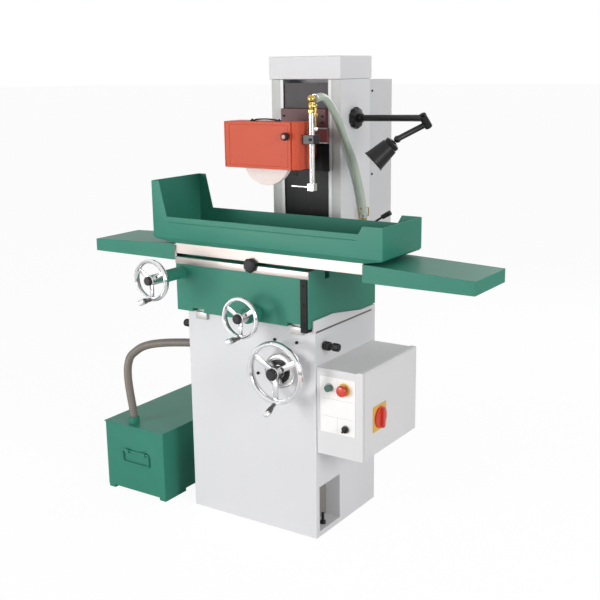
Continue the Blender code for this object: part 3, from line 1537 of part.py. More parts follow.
# ---------------------------------------------------------------- electrical cabinet
def electrical_cabinet():
    door_x = BOX_LEFT + BOX_W - BOX_DOOR_T
    body = box("electrical_box", (BOX_LEFT, BOX_FRONT, BOX_Z0), (door_x, BOX_BACK, BOX_Z1), LIGHT_GREY)
    lip = box(
        "front_strip",
        (door_x - 0.004, BOX_FRONT, BOX_Z0),
        (BOX_LEFT + BOX_W, BOX_FRONT + BOX_FRAME - 5 * GAP, BOX_Z1),
    )
    hollow = box(
        "box_hollow",
        (BOX_LEFT + BOX_WALL, BOX_FRONT + BOX_WALL, BOX_Z0 + BOX_WALL),
        (door_x + 0.001, BOX_BACK - BOX_WALL, BOX_Z1 - BOX_WALL),
    )
    fuse(cut(body, hollow), lip)
    panel_front = BOX_FRONT - GAP - PANEL_T
    panel_z1 = BOX_Z1 - PANEL_DOWN
    panel = box(
        "control_panel",
        (PANEL_X, panel_front, panel_z1 - PANEL_H),
        (PANEL_X + PANEL_W, panel_front + PANEL_T, panel_z1),
        WHITE,
    )
    door = box(
        "electrical_door",
        (door_x + GAP, BOX_FRONT + BOX_FRAME, BOX_Z0 + 0.001),
        (BOX_LEFT + BOX_W, BOX_BACK, BOX_Z1 - 0.001),
        LIGHT_GREY,
        at=(BOX_LEFT + BOX_W, BOX_BACK, (BOX_Z0 + BOX_Z1) / 2),
    )
    fits = (
        ("start_button", PANEL_X + 0.037, panel_z1 - 0.037, BUTTON_R, GREEN_LENS),
        ("emergency_stop", PANEL_X + 0.094, panel_z1 - 0.036, BUTTON_R, YELLOW_RED),
        ("selector_knob", PANEL_X + 0.100, panel_z1 - 0.172, BUTTON_R, BLACK),
    )
    for name, at_x, at_z, radius, paint in fits:
        start = Vector((at_x, panel_front, at_z))
        bore = rod(name + "_hole", start - Y * 0.03, start + Y * 0.03, radius - 0.003 + 0.0005, sides=20)
        cut(panel, bore)
        second_bore = rod(
            name + "_box_hole", start - Y * 0.03, start + Y * 0.03, radius - 0.003 + 0.0005, sides=20
        )
        cut(body, second_bore)
        stem = -(PANEL_T + BOX_WALL + 0.012)
        if name == "emergency_stop":
            rest = STOP_TRAVEL + 0.001
            profile = [
                (0, rest + 0.022),
                (0.013, rest + 0.021),
                (0.0195, rest + 0.014),
                (0.0195, rest + 0.010),
                (0.012, rest),
            ]
        elif name == "start_button":
            rest = BUTTON_TRAVEL + 0.001
            profile = [
                (0, rest + 0.012), (radius - 0.001, rest + 0.012), (radius, rest + 0.011), (radius, rest)
            ]
        else:
            rest = GAP
            profile = [
                (0, rest + 0.018), (radius - 0.001, rest + 0.018), (radius, rest + 0.016), (radius, rest)
            ]
        profile += [(radius - 0.003, rest), (radius - 0.003, stem), (0, stem)]
        turned(name, profile, start, -Y, paint, steps=20)
    # main switch: a round handle on the door's face, its stem through the door
    centre = Vector((BOX_LEFT + BOX_W, SWITCH_Y, BOX_Z0 + SWITCH_Z_UP))
    cut(door, rod("switch_hole", centre - X * 0.03, centre + X * 0.01, 0.0065, sides=20))
    profile = [
        (0, 0.030),
        (SWITCH_R * 0.6, 0.030),
        (SWITCH_R * 0.66, 0.012),
        (SWITCH_R, 0.010),
        (SWITCH_R, GAP),
        (0.006, GAP),
        (0.006, -BOX_DOOR_T - 0.010),
        (0, -BOX_DOOR_T - 0.010),
    ]
    turned("main_switch", profile, centre, X, YELLOW_RED, steps=24)


# ---------------------------------------------------------------- coolant tank
def tank():
    body = box("tank_body", (TANK_LEFT, TANK_FRONT, TANK_FOOT), (TANK_RIGHT, TANK_BACK, TANK_Z1), GREEN)
    feet = []
    for foot_x in (TANK_LEFT, TANK_RIGHT - FOOT_W):
        for foot_y in (TANK_FRONT + 0.002, TANK_BACK - FOOT_L - 0.002):
            feet.append(
                box("foot", (foot_x, foot_y, 0), (foot_x + FOOT_W, foot_y + FOOT_L, TANK_FOOT + 0.001))
            )
    ears = []
    for side in (-1, 1):
        ear_x = BAIL_X + side * BAIL_W * 0.32
        ears.append(
            box(
                "bail_ear",
                (ear_x - 0.010, TANK_FRONT - 2 * BAIL_R - 0.006, BAIL_Z - BAIL_R - 0.004),
                (ear_x + 0.010, TANK_FRONT + 0.001, BAIL_Z + BAIL_R + 0.004),
            )
        )
    hollow = box(
        "tank_hollow",
        (TANK_LEFT + TANK_T, TANK_FRONT + TANK_T, TANK_FOOT + TANK_T),
        (TANK_RIGHT - TANK_T, TANK_BACK - TANK_T, TANK_Z1 + 0.01),
    )
    bar_y = TANK_FRONT - BAIL_R - 0.0025
    bar = Vector((BAIL_X, bar_y, BAIL_Z))
    bore = rod("bail_bore", bar - X * BAIL_W, bar + X * BAIL_W, BAIL_R + RUNNING, sides=20)
    cut(fuse(cut(body, hollow), *feet, *ears), bore)
    over = 0.003
    lid_low = TANK_Z1 + GAP
    lid = box(
        "tank_lid",
        (TANK_LEFT - over, TANK_FRONT - over, lid_low),
        (TANK_RIGHT + over, TANK_BACK + over, lid_low + over),
        GREEN,
    )
    collar_foot = Vector((COLLAR_X, COLLAR_Y, lid_low + over / 2))
    collar = rod("collar", collar_foot, collar_foot + Z * COLLAR_H, COLLAR_R)
    bore = rod("collar_bore", collar_foot - Z * 0.02, collar_foot + Z * 0.05, DRAIN_HOSE_R + 0.0005)
    cut(fuse(lid, collar), bore)
    half = BAIL_W / 2
    drop = BAIL_Z - BAIL_H
    bend = 0.006
    bail = [
        (BAIL_X - half + bend, bar_y, BAIL_Z),
        (BAIL_X + half - bend, bar_y, BAIL_Z),
        (BAIL_X + half, bar_y, BAIL_Z - bend),
        (BAIL_X + half, bar_y, drop + bend),
        (BAIL_X + half - bend, bar_y, drop),
        (BAIL_X - half + bend, bar_y, drop),
        (BAIL_X - half, bar_y, drop + bend),
        (BAIL_X - half, bar_y, BAIL_Z - bend),
    ]
    tube("tank_handle", bail, BAIL_R, GREEN, closed=True)


def drain_hose():
    tube("drain_hose", smooth_route(DRAIN_ROUTE, DRAIN_HOSE_R * 2), DRAIN_HOSE_R, TAUPE, resolution=3)


base_cabinet()
side_lock_knobs()
elevating_drive()
column()
column_cap()
rear_cover()
wheelhead()
spindle_and_wheel()
wheel_guard()
nozzle()
coolant_hose()
supply_fitting()
lamp()
saddle()
cross_feed()
table()
table_drive()
splash_guard()
wings()
electrical_cabinet()
tank()
drain_hose()
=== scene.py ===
"""Manual surface grinder with coolant tank: the visual model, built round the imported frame.

Units are metres. +Z is up, +X is to the operator's right and the operator stands at -Y.
"""

import logging
from dataclasses import dataclass, field
from enum import Enum
from math import cos, pi, radians, sin, sqrt, tau
from typing import Iterable, Sequence

import bmesh
import bpy
from mathutils import Matrix, Vector


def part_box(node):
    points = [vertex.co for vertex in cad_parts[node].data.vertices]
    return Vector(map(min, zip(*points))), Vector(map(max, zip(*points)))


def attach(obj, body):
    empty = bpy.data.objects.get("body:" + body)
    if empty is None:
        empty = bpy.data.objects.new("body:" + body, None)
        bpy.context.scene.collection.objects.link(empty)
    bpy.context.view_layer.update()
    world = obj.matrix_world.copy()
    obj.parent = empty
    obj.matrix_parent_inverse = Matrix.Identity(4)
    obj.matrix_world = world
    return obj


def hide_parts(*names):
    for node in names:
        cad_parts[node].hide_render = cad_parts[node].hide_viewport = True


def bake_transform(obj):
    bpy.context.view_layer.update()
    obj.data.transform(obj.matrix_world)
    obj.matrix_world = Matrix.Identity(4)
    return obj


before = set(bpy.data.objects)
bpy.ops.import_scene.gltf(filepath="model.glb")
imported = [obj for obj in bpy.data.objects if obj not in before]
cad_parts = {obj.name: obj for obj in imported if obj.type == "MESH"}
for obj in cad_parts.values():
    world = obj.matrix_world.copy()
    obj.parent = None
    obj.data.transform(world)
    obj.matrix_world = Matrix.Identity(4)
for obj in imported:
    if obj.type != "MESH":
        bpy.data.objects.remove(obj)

logging.basicConfig(level=logging.INFO, format="%(message)s")
LOG = logging.getLogger("grinder")

MM = 0.001
X = Vector((1, 0, 0))
Y = Vector((0, 1, 0))
Z = Vector((0, 0, 1))
Profile = Sequence[tuple[float, float]]
Point = Sequence[float]


# ---------------------------------------------------------------- finishes


def linear(hex_colour: str) -> tuple[float, float, float, float]:
    """Turns an sRGB hex colour into linear RGBA.

    Args:
        hex_colour: six hex digits with a leading #.

    Returns:
        The colour in scene-linear values, with full alpha.
    """
    channels = [int(hex_colour[i : i + 2], 16) / 255 for i in (1, 3, 5)]
    lit = [c / 12.92 if c <= 0.04045 else ((c + 0.055) / 1.055) ** 2.4 for c in channels]
    return (*lit, 1.0)


def add_node(tree: bpy.types.NodeTree, kind: str, settings: dict | None = None, **inputs) -> bpy.types.Node:
    """Adds one shader node.

    Args:
        tree: the material's node tree.
        kind: the node's Blender type.
        settings: properties of the node itself.
        inputs: socket values or output sockets to link; an underscore stands for a space.

    Returns:
        The new node.
    """
    node = tree.nodes.new(kind)
    for key, value in (settings or {}).items():
        setattr(node, key, value)
    for key, value in inputs.items():
        socket = node.inputs[int(key[1:])] if key[0] == "i" and key[1:].isdigit() else node.inputs[
            key.replace("_", " ")
        ]
        if isinstance(value, bpy.types.NodeSocket):
            tree.links.new(value, socket)
        else:
            socket.default_value = value
    return node


@dataclass(frozen=True)
class Finish:
    """What every finish shares: a base colour that wanders a little, and a fine relief.

    spot is the size of the colour patches and grain that of the relief, both in millimetres.
    """

    name: str
    colour: str
    roughness: float
    slot: str
    metallic: float = 0.0
    drift: float = 0.05
    spot: float = 90.0
    grain: float = 3.0
    relief: float = 0.05
    stretch: tuple[float, float, float] = (1, 1, 1)
    coat: float = 0.0
    gloss: float = 0.5
    grime: str = ""
    grime_share: float = 0.0

    def coordinates(self, tree: bpy.types.NodeTree) -> bpy.types.NodeSocket:
        """Gives the piece's own coordinates, squeezed along the direction of brushing."""
        place = add_node(tree, "ShaderNodeTexCoord")
        mapping = add_node(tree, "ShaderNodeMapping", Vector=place.outputs["Object"], Scale=self.stretch)
        return mapping.outputs["Vector"]

    def base(self, tree: bpy.types.NodeTree, where: bpy.types.NodeSocket) -> bpy.types.NodeSocket:
        """Gives the colour with its slow drift and any grime in the low spots of a noise."""
        patches = add_node(tree, "ShaderNodeTexNoise", Vector=where, Scale=1 / (self.spot * MM), Detail=3.0)
        tone = add_node(
            tree,
            "ShaderNodeMapRange",
            Value=patches.outputs["Fac"],
            To_Min=1 - self.drift,
            To_Max=1 + self.drift,
        )
        colour = add_node(
            tree, "ShaderNodeHueSaturation", Value=tone.outputs["Result"], Color=linear(self.colour)
        )
        if not self.grime:
            return colour.outputs["Color"]
        smear = add_node(
            tree, "ShaderNodeTexNoise", Vector=where, Scale=1 / (self.spot * 0.4 * MM), Detail=6.0
        )
        share = add_node(
            tree,
            "ShaderNodeMapRange",
            Value=smear.outputs["Fac"],
            From_Min=0.56,
            From_Max=0.78,
            To_Max=self.grime_share,
        )
        mixed = add_node(
            tree,
            "ShaderNodeMix",
            {"data_type": "RGBA"},
            i0=share.outputs["Result"],
            i6=colour.outputs["Color"],
            i7=linear(self.grime),
        )
        return mixed.outputs[2]

    def relief_of(self, tree: bpy.types.NodeTree, where: bpy.types.NodeSocket) -> bpy.types.NodeSocket:
        """Gives the height of the fine relief, from 0 to 1."""
        fine = add_node(tree, "ShaderNodeTexNoise", Vector=where, Scale=1 / (self.grain * MM), Detail=2.0)
        return fine.outputs["Fac"]

    def finish_shader(self, tree: bpy.types.NodeTree, shader: bpy.types.Node) -> None:
        """Sets what only some finishes have. The plain ones have nothing more."""

    def material(self) -> bpy.types.Material:
        """Builds the material once and gives the same one after that."""
        found = bpy.data.materials.get(self.name)
        if found:
            return found
        made = bpy.data.materials.new(self.name)
        made.use_nodes = True
        tree = made.node_tree
        shader = tree.nodes["Principled BSDF"]
        where = self.coordinates(tree)
        tree.links.new(self.base(tree, where), shader.inputs["Base Color"])
        height = self.relief_of(tree, where)
        sheen = add_node(
            tree,
            "ShaderNodeMapRange",
            Value=height,
            To_Min=max(0.03, self.roughness * 0.85),
            To_Max=min(1.0, self.roughness * 1.15),
        )
        tree.links.new(sheen.outputs["Result"], shader.inputs["Roughness"])
        bump = add_node(tree, "ShaderNodeBump", Height=height, Strength=self.relief, Distance=0.3 * MM)
        tree.links.new(bump.outputs["Normal"], shader.inputs["Normal"])
        shader.inputs["Metallic"].default_value = self.metallic
        shader.inputs["Coat Weight"].default_value = self.coat
        shader.inputs["Specular IOR Level"].default_value = self.gloss
        self.finish_shader(tree, shader)
        return made


@dataclass(frozen=True)
class Hose(Finish):
    """Clear PVC hose: light passes through its wall."""

    def finish_shader(self, tree: bpy.types.NodeTree, shader: bpy.types.Node) -> None:
        """Lets part of the light through."""
        shader.inputs["Subsurface Weight"].default_value = 0.35
        shader.inputs["Subsurface Scale"].default_value = 0.01
        shader.inputs["Subsurface Radius"].default_value = (0.6, 0.8, 0.6)


@dataclass(frozen=True)
class Knurled(Finish):
    """Moulded or rolled knurling: one set of fine diagonal grooves about grain apart."""

    def relief_of(self, tree: bpy.types.NodeTree, where: bpy.types.NodeSocket) -> bpy.types.NodeSocket:
        """Draws one diagonal wave texture as the grooves."""
        scale = 1 / (self.grain * MM) / 2
        one = add_node(tree, "ShaderNodeTexWave", {"bands_direction": "DIAGONAL"}, Vector=where, Scale=scale)
        return one.outputs["Fac"]


# Sprayed enamel over filled cast iron: an even colour with a faint orange peel,
# drawn 3 mm wide so that it shows.
GREY_PAINT = Finish(
    "light_grey_enamel", "#DCDCDE", 0.42, "light_grey_paint", drift=0.02, spot=160, relief=0.06, gloss=0.4
)
SHEET_PAINT = Finish(
    "grey_powder_coat", "#DEDDDE", 0.5, "light_grey_paint", drift=0.02, spot=120, grain=1.6, relief=0.08
)
# Darker grey for the back of the levelling-bolt recesses: painted shade.
NICHE_SHADE_GREY = Finish("niche_shade_grey_enamel", "#8C8984", 0.6, "light_grey_paint", drift=0.1, spot=40, relief=0.05)
COVER_PAINT = Finish(
    "pale_grey_sheet", "#CDCDCF", 0.5, "light_grey_paint", drift=0.015, spot=140, relief=0.05
)
SCRAPED_FACE = Finish(
    "scraped_way_face", "#ECECEE", 0.36, "light_grey_paint", drift=0.03, spot=30, relief=0.1
)
# Grey way face, darker than the column's paint: painted shade on the cheek faces; also the pale edges of the
# slide's arm band.
SHADED_FACE = Finish("shaded_way_face", "#C6C7C5", 0.45, "light_grey_paint", drift=0.06, spot=60, relief=0.1)
GREEN_PAINT = Finish(
    "green_enamel", "#31806C", 0.42, "green_paint", drift=0.06, spot=110, relief=0.07, gloss=0.3
)
RED_PAINT = Finish(
    "orange_red_enamel", "#CB5438", 0.45, "red_paint", drift=0.04, spot=60, relief=0.05, gloss=0.22
)
PALE_RED = Finish("pale_red_cap", "#C98A80", 0.4, "red_paint", drift=0.04, spot=20, relief=0.05)
MAROON_PAINT = Finish(
    "maroon_enamel", "#541A1D", 0.4, "maroon_paint", drift=0.08, spot=50, relief=0.08, gloss=0.4
)
ARM_PAINT = Finish("worn_maroon_enamel", "#7E4A4A", 0.34, "maroon_paint", drift=0.12, spot=25, relief=0.12)
# Blackened strips that slide in the column: satin, with fine vertical wear. The lower strip is near black
# with random paler smears: painted shade below the slide's band.
UPPER_STRIP = Finish(
    "blackened_steel_strip",
    "#4A4649",
    0.5,
    "dark_paint",
    gloss=0.3,
    drift=0.12,
    spot=30,
    grain=2,
    relief=0.15,
    stretch=(1, 1, 0.1),
)
# Lower strip: painted shade, near black below the slide's band.
SHADED_LOWER_STRIP = Finish(
    "lower_strip_painted_shade",
    "#0F0F10",
    0.42,
    "dark_paint",
    gloss=0.22,
    drift=0.2,
    spot=40,
    grain=2,
    relief=0.15,
    stretch=(1, 1, 0.1),
    grime="#33302F",
    grime_share=0.6,
)
MOTOR_PAINT = Finish("grey_motor_enamel", "#5B5E60", 0.45, "dark_paint", drift=0.06, relief=0.1)
# Ground steel: a matt shine with fine scratches along the table's travel.
GROUND_STEEL = Finish(
    "ground_steel",
    "#B9AFAA",
    0.36,
    "steel",
    metallic=0.75,
    drift=0.05,
    spot=60,
    grain=0.7,
    relief=0.12,
    stretch=(0.03, 1, 1),
)
TURNED_STEEL = Finish(
    "turned_steel", "#DEDCD9", 0.26, "steel", metallic=1.0, drift=0.05, spot=20, grain=0.8, relief=0.12
)
BLACK_OXIDE = Finish(
    "black_oxide_steel", "#1E1F21", 0.42, "steel", metallic=0.5, drift=0.15, spot=8, grain=1.0, relief=0.15
)
DARK_STEEL = Finish(
    "browned_steel", "#6E6A68", 0.34, "steel", metallic=0.8, drift=0.15, spot=14, grain=1.0, relief=0.15
)
CAST_IRON = Finish(
    "machined_cast_iron", "#BFBEBC", 0.42, "steel", metallic=0.5, drift=0.1, spot=30, grain=1.2, relief=0.2
)
CHROME = Finish(
    "polished_chrome", "#E8E8EA", 0.1, "chrome", metallic=1.0, drift=0.02, spot=25, grain=2.5, relief=0.04
)
SATIN_CHROME = Finish(
    "satin_chrome", "#CFCDCC", 0.26, "chrome", metallic=1.0, drift=0.06, spot=15, grain=0.8, relief=0.1
)
BRASS = Finish(
    "turned_brass", "#BFA05A", 0.26, "brass", metallic=1.0, drift=0.1, spot=9, grain=0.9, relief=0.1
)
# Phenolic mouldings: near black with a soft gloss.
BAKELITE = Finish(
    "black_phenolic", "#151516", 0.34, "black_plastic", drift=0.1, spot=20, grain=1.5, relief=0.06, gloss=0.4
)
KNURLED = Knurled(
    "knurled_phenolic", "#141416", 0.4, "black_plastic", drift=0.1, spot=10, grain=1.6, relief=0.6, gloss=0.4
)
BLACK_RUBBER = Finish(
    "black_rubber", "#1A1A1B", 0.65, "black_plastic", drift=0.1, spot=20, grain=1.0, relief=0.3, gloss=0.3
)
LAMP_PAINT = Finish(
    "satin_black_enamel", "#121214", 0.36, "lamp_black", drift=0.08, spot=30, relief=0.05, gloss=0.35
)
REFLECTOR = Finish("white_reflector", "#ECEBE4", 0.3, "lamp_black", drift=0.02)
CLEAR_HOSE = Hose(
    "clear_pvc_hose", "#B6C3B4", 0.22, "clear_hose", drift=0.06, spot=30, grain=3, relief=0.1, coat=0.3
)
DRAIN_RUBBER = Finish(
    "grey_rubber_hose", "#7A736B", 0.5, "drain_rubber", drift=0.1, spot=40, grain=1.5, relief=0.15
)
# Bonded alumina: open, sandy grains about half a millimetre across, drawn at 1 mm.
GRIT = Finish(
    "bonded_alumina",
    "#FBEEE9",
    0.92,
    "grit",
    drift=0.04,
    spot=2.5,
    grain=1.0,
    relief=0.7,
    grime="#CDBBB5",
    grime_share=0.4,
)
PANEL_WHITE = Finish("printed_panel_white", "#F8F7F5", 0.35, "white_panel", drift=0.01, spot=60, relief=0.02)
PANEL_LINE = Finish("panel_line_grey", "#A9ABAD", 0.5, "white_panel")
BUTTON_RED = Finish("moulded_red", "#D63A26", 0.3, "red_plastic", drift=0.03, spot=15, relief=0.04, coat=0.2)
COLLAR_YELLOW = Finish("moulded_yellow", "#E2B245", 0.35, "red_plastic", drift=0.03, spot=15, relief=0.04)
BUTTON_GREEN = Finish(
    "moulded_green", "#3F6C60", 0.25, "green_plastic", drift=0.04, spot=12, relief=0.04, coat=0.4
)


class Facing(Enum):
    """The plane in which an outline is drawn: the axis is the one it is drawn out along."""

    X = Matrix(((0, 0, 1), (1, 0, 0), (0, 1, 0)))
    Y = Matrix(((1, 0, 0), (0, 0, 1), (0, 1, 0)))
    Z = Matrix(((1, 0, 0), (0, 1, 0), (0, 0, 1)))


# ---------------------------------------------------------------- shapes


def finished(name: str, form: bmesh.types.BMesh, finish: Finish, crease: float = 35) -> bpy.types.Object:
    """Makes an object of a mesh in row-frame coordinates, smooth except at its creases.

    Args:
        name: the piece's name.
        form: the mesh, which is freed.
        finish: the finish that covers it.
        crease: the angle between faces, in degrees, above which an edge stays sharp.

    Returns:
        The new object.
    """
    for edge in form.edges:
        edge.smooth = len(edge.link_faces) != 2 or edge.calc_face_angle(0) < radians(crease)
    for face in form.faces:
        face.smooth = True
    mesh = bpy.data.meshes.new(name)
    form.to_mesh(mesh)
    form.free()
    mesh.materials.append(finish.material())
    piece = bpy.data.objects.new(name, mesh)
    bpy.context.scene.collection.objects.link(piece)
    return piece


def frame_along(start: Point, direction: Point) -> Matrix:
    """Gives the matrix that carries +Z at the origin to a direction at start."""
    turn = Z.rotation_difference(Vector(direction)).to_matrix().to_4x4()
    return Matrix.Translation(Vector(start)) @ turn


def lathe(
    name: str,
    profile: Profile,
    start: Point,
    direction: Point,
    finish: Finish,
    segments: int = 48,
    ring: bool = False,
    lobes: int = 0,
    depth: float = 0.0,
) -> bpy.types.Object:
    """Turns a profile about a line.

    Args:
        name: the piece's name.
        profile: (radius, height) pairs, from one end to the other.
        start: where height 0 lies.
        direction: the way that height grows.
        finish: the finish.
        segments: steps round the axis.
        ring: joins the last pair to the first, for a piece with a bore.
        lobes: grip flutes round the widest part, or none.
        depth: the flutes' depth as a share of the radius.

    Returns:
        The new object.
    """
    form = bmesh.new()
    widest = max(r for r, _ in profile)
    rings = []
    for radius, height in profile:
        if radius < 1e-6:
            rings.append([form.verts.new((0, 0, height))])
            continue
        fluted = depth if lobes and radius > widest * 0.7 else 0.0
        row = []
        for step in range(segments):
            angle = tau * step / segments
            reach = radius * (1 - fluted * (0.5 - 0.5 * cos(lobes * angle)))
            row.append(form.verts.new((reach * cos(angle), reach * sin(angle), height)))
        rings.append(row)
    pairs = list(zip(rings, rings[1:]))
    if ring:
        pairs.append((rings[-1], rings[0]))
    for low, high in pairs:
        for step in range(segments):
            after = (step + 1) % segments
            corners = [
                low[step % len(low)], low[after % len(low)], high[after % len(high)], high[step % len(high)]
            ]
            unique = list(dict.fromkeys(corners))
            if len(unique) > 2:
                form.faces.new(unique)
    bmesh.ops.recalc_face_normals(form, faces=form.faces)
    form.transform(frame_along(start, direction))
    return finished(name, form, finish)


def block(
    name: str, low: Point, high: Point, radius: float, finish: Finish, steps: int = 3
) -> bpy.types.Object:
    """Makes a box between two corners, its edges rounded."""
    form = bmesh.new()
    bmesh.ops.create_cube(form, size=1)
    low, high = Vector(low), Vector(high)
    for vert in form.verts:
        vert.co = Vector([low[i] + (high[i] - low[i]) * (vert.co[i] + 0.5) for i in range(3)])
    bmesh.ops.bevel(form, geom=form.edges[:], offset=radius, segments=steps, affect="EDGES", profile=0.5)
    return finished(name, form, finish, crease=50)


def plate(
    name: str,
    outline: Profile,
    low: float,
    high: float,
    facing: Facing,
    finish: Finish,
    edge: float = 0.0005,
) -> bpy.types.Object:
    """Draws a flat outline out into a plate with eased edges.

    Args:
        name: the piece's name.
        outline: its corners in the plane.
        low: where it starts along the axis.
        high: where it ends.
        facing: the plane.
        finish: the finish.
        edge: how far the edges are eased.

    Returns:
        The new object.
    """
    form = bmesh.new()
    face = form.faces.new([form.verts.new((a, b, low)) for a, b in outline])
    made = bmesh.ops.extrude_face_region(form, geom=[face])
    for vert in made["geom"]:
        if isinstance(vert, bmesh.types.BMVert):
            vert.co.z = high
    bmesh.ops.recalc_face_normals(form, faces=form.faces)
    sharp = [e for e in form.edges if e.calc_face_angle(0) > radians(30)]
    bmesh.ops.bevel(form, geom=sharp, offset=edge, segments=2, affect="EDGES", profile=0.5)
    form.transform(facing.value.to_4x4())
    bmesh.ops.recalc_face_normals(form, faces=form.faces)
    return finished(name, form, finish)


def swept(
    name: str,
    points: Sequence[Point],
    radius: float | Sequence[float],
    finish: Finish,
    sides: int = 16,
    closed: bool = False,
    flatten: float = 1.0,
) -> bpy.types.Object:
    """Carries a round or flattened section along a path.

    Args:
        name: the piece's name.
        points: the path.
        radius: one radius, or one for each point.
        finish: the finish.
        sides: steps round the section.
        closed: joins the ends.
        flatten: the section's height as a share of its width.

    Returns:
        The new object.
    """
    form = bmesh.new()
    path = [Vector(p) for p in points]
    count = len(path)
    radii = [radius] * count if isinstance(radius, (int, float)) else list(radius)
    across = None
    rings = []
    for i, here in enumerate(path):
        before = path[i - 1] if i or closed else here
        after = path[(i + 1) % count] if i < count - 1 or closed else here
        tangent = (after - before).normalized()
        if across is None:
            across = tangent.cross(Z if abs(tangent.z) < 0.9 else X).normalized()
        across = (across - tangent * across.dot(tangent)).normalized()
        up = tangent.cross(across)
        row = []
        for side in range(sides):
            angle = tau * side / sides
            offset = across * cos(angle) + up * sin(angle) * flatten
            row.append(form.verts.new(here + offset * radii[i]))
        rings.append(row)
    pairs = list(zip(rings, rings[1:]))
    if closed:
        pairs.append((rings[-1], rings[0]))
    for low, high in pairs:
        for side in range(sides):
            after = (side + 1) % sides
            form.faces.new((low[side], low[after], high[after], high[side]))
    if not closed:
        form.faces.new(rings[0])
        form.faces.new(rings[-1])
    bmesh.ops.recalc_face_normals(form, faces=form.faces)
    return finished(name, form, finish)


def smooth_route(route: Sequence[Point], spacing: float) -> list[Vector]:
    """Gives points about a spacing apart on one smooth curve through the route."""
    points = [Vector(p) for p in route]
    ends = [2 * points[0] - points[1], *points, 2 * points[-1] - points[-2]]
    found = [points[0]]
    for before, a, b, after in zip(ends, ends[1:], ends[2:], ends[3:]):
        parts = max(1, round((b - a).length / spacing))
        for k in range(1, parts + 1):
            t = k / parts
            pull = (b - before) * t + (2 * before - 5 * a + 4 * b - after) * t * t
            found.append(a + (pull + (3 * a - before - 3 * b + after) * t**3) / 2)
    return found


def joined(name: str, pieces: Iterable[bpy.types.Object]) -> bpy.types.Object:
    """Makes one object of several, keeping each one's finish.

    Args:
        name: the new piece's name.
        pieces: the objects, which are removed.

    Returns:
        The joined object.
    """
    mesh = bpy.data.meshes.new(name)
    form = bmesh.new()
    for piece in list(pieces):
        for material in piece.data.materials:
            if material.name not in mesh.materials:
                mesh.materials.append(material)
        slots = [list(mesh.materials).index(m) for m in piece.data.materials]
        start = len(form.faces)
        form.from_mesh(piece.data)
        form.faces.ensure_lookup_table()
        for face in form.faces[start:]:
            face.material_index = slots[face.material_index]
        bpy.data.objects.remove(piece)
    form.to_mesh(mesh)
    form.free()
    whole = bpy.data.objects.new(name, mesh)
    bpy.context.scene.collection.objects.link(whole)
    return whole


def eased(
    node: str, name: str, radius: float, finish: Finish, steps: int = 2, crease: float = 40
) -> bpy.types.Object:
    """Makes a finished casting or pressing of a CAD node: its flats merged and its edges rounded.

    Args:
        node: the CAD node.
        name: the new piece's name.
        radius: the edges' radius.
        finish: the finish.
        steps: steps round each edge.
        crease: the angle above which an edge is rounded, in degrees.

    Returns:
        The new object, which stands for the node.
    """
    form = bmesh.new()
    form.from_mesh(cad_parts[node].data)
    bmesh.ops.remove_doubles(form, verts=form.verts, dist=0.00001)
    bmesh.ops.dissolve_limit(form, angle_limit=radians(1), verts=form.verts, edges=form.edges)
    for loose in [v for v in form.verts if not v.link_faces]:
        form.verts.remove(loose)
    piece = finished(name, form, finish, crease)
    bevel = piece.modifiers.new("eased edges", "BEVEL")
    bevel.width = radius
    bevel.segments = steps
    bevel.limit_method = "ANGLE"
    bevel.angle_limit = radians(crease)
    bevel.harden_normals = True
    bevel.miter_outer = "MITER_ARC"
    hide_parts(node)
    return piece


def dress(node: str, finish: Finish) -> None:
    """Gives a CAD node whose shape is right its finish."""
    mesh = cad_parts[node].data
    mesh.materials.clear()
    mesh.materials.append(finish.material())


def settle(piece: bpy.types.Object, body: str, finish: Finish, *nodes: str) -> bpy.types.Object:
    """Puts a piece on its body, logs which body, and hides the CAD nodes it stands for."""
    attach(piece, body)
    if nodes:
        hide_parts(*nodes)
    LOG.info("%s rides on %s", piece.name, body)
    return piece


def centre_of(node: str) -> Vector:
    """Gives the middle of a CAD node's box."""
    low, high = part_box(node)
    return (low + high) / 2


def cap_screw(
    name: str, at: Vector, facing: Vector, radius: float, finish: Finish = BLACK_OXIDE
) -> bpy.types.Object:
    """Makes a socket cap screw's head with its hexagon socket, standing on a face."""
    height = radius * 1.1
    profile = [(radius, 0), (radius, height * 0.85), (radius * 0.88, height), (radius * 0.52, height)]
    profile += [(radius * 0.48, height * 0.45), (0, height * 0.45)]
    return lathe(name, profile, at, facing, finish, segments=24)


# ---------------------------------------------------------------- the machine


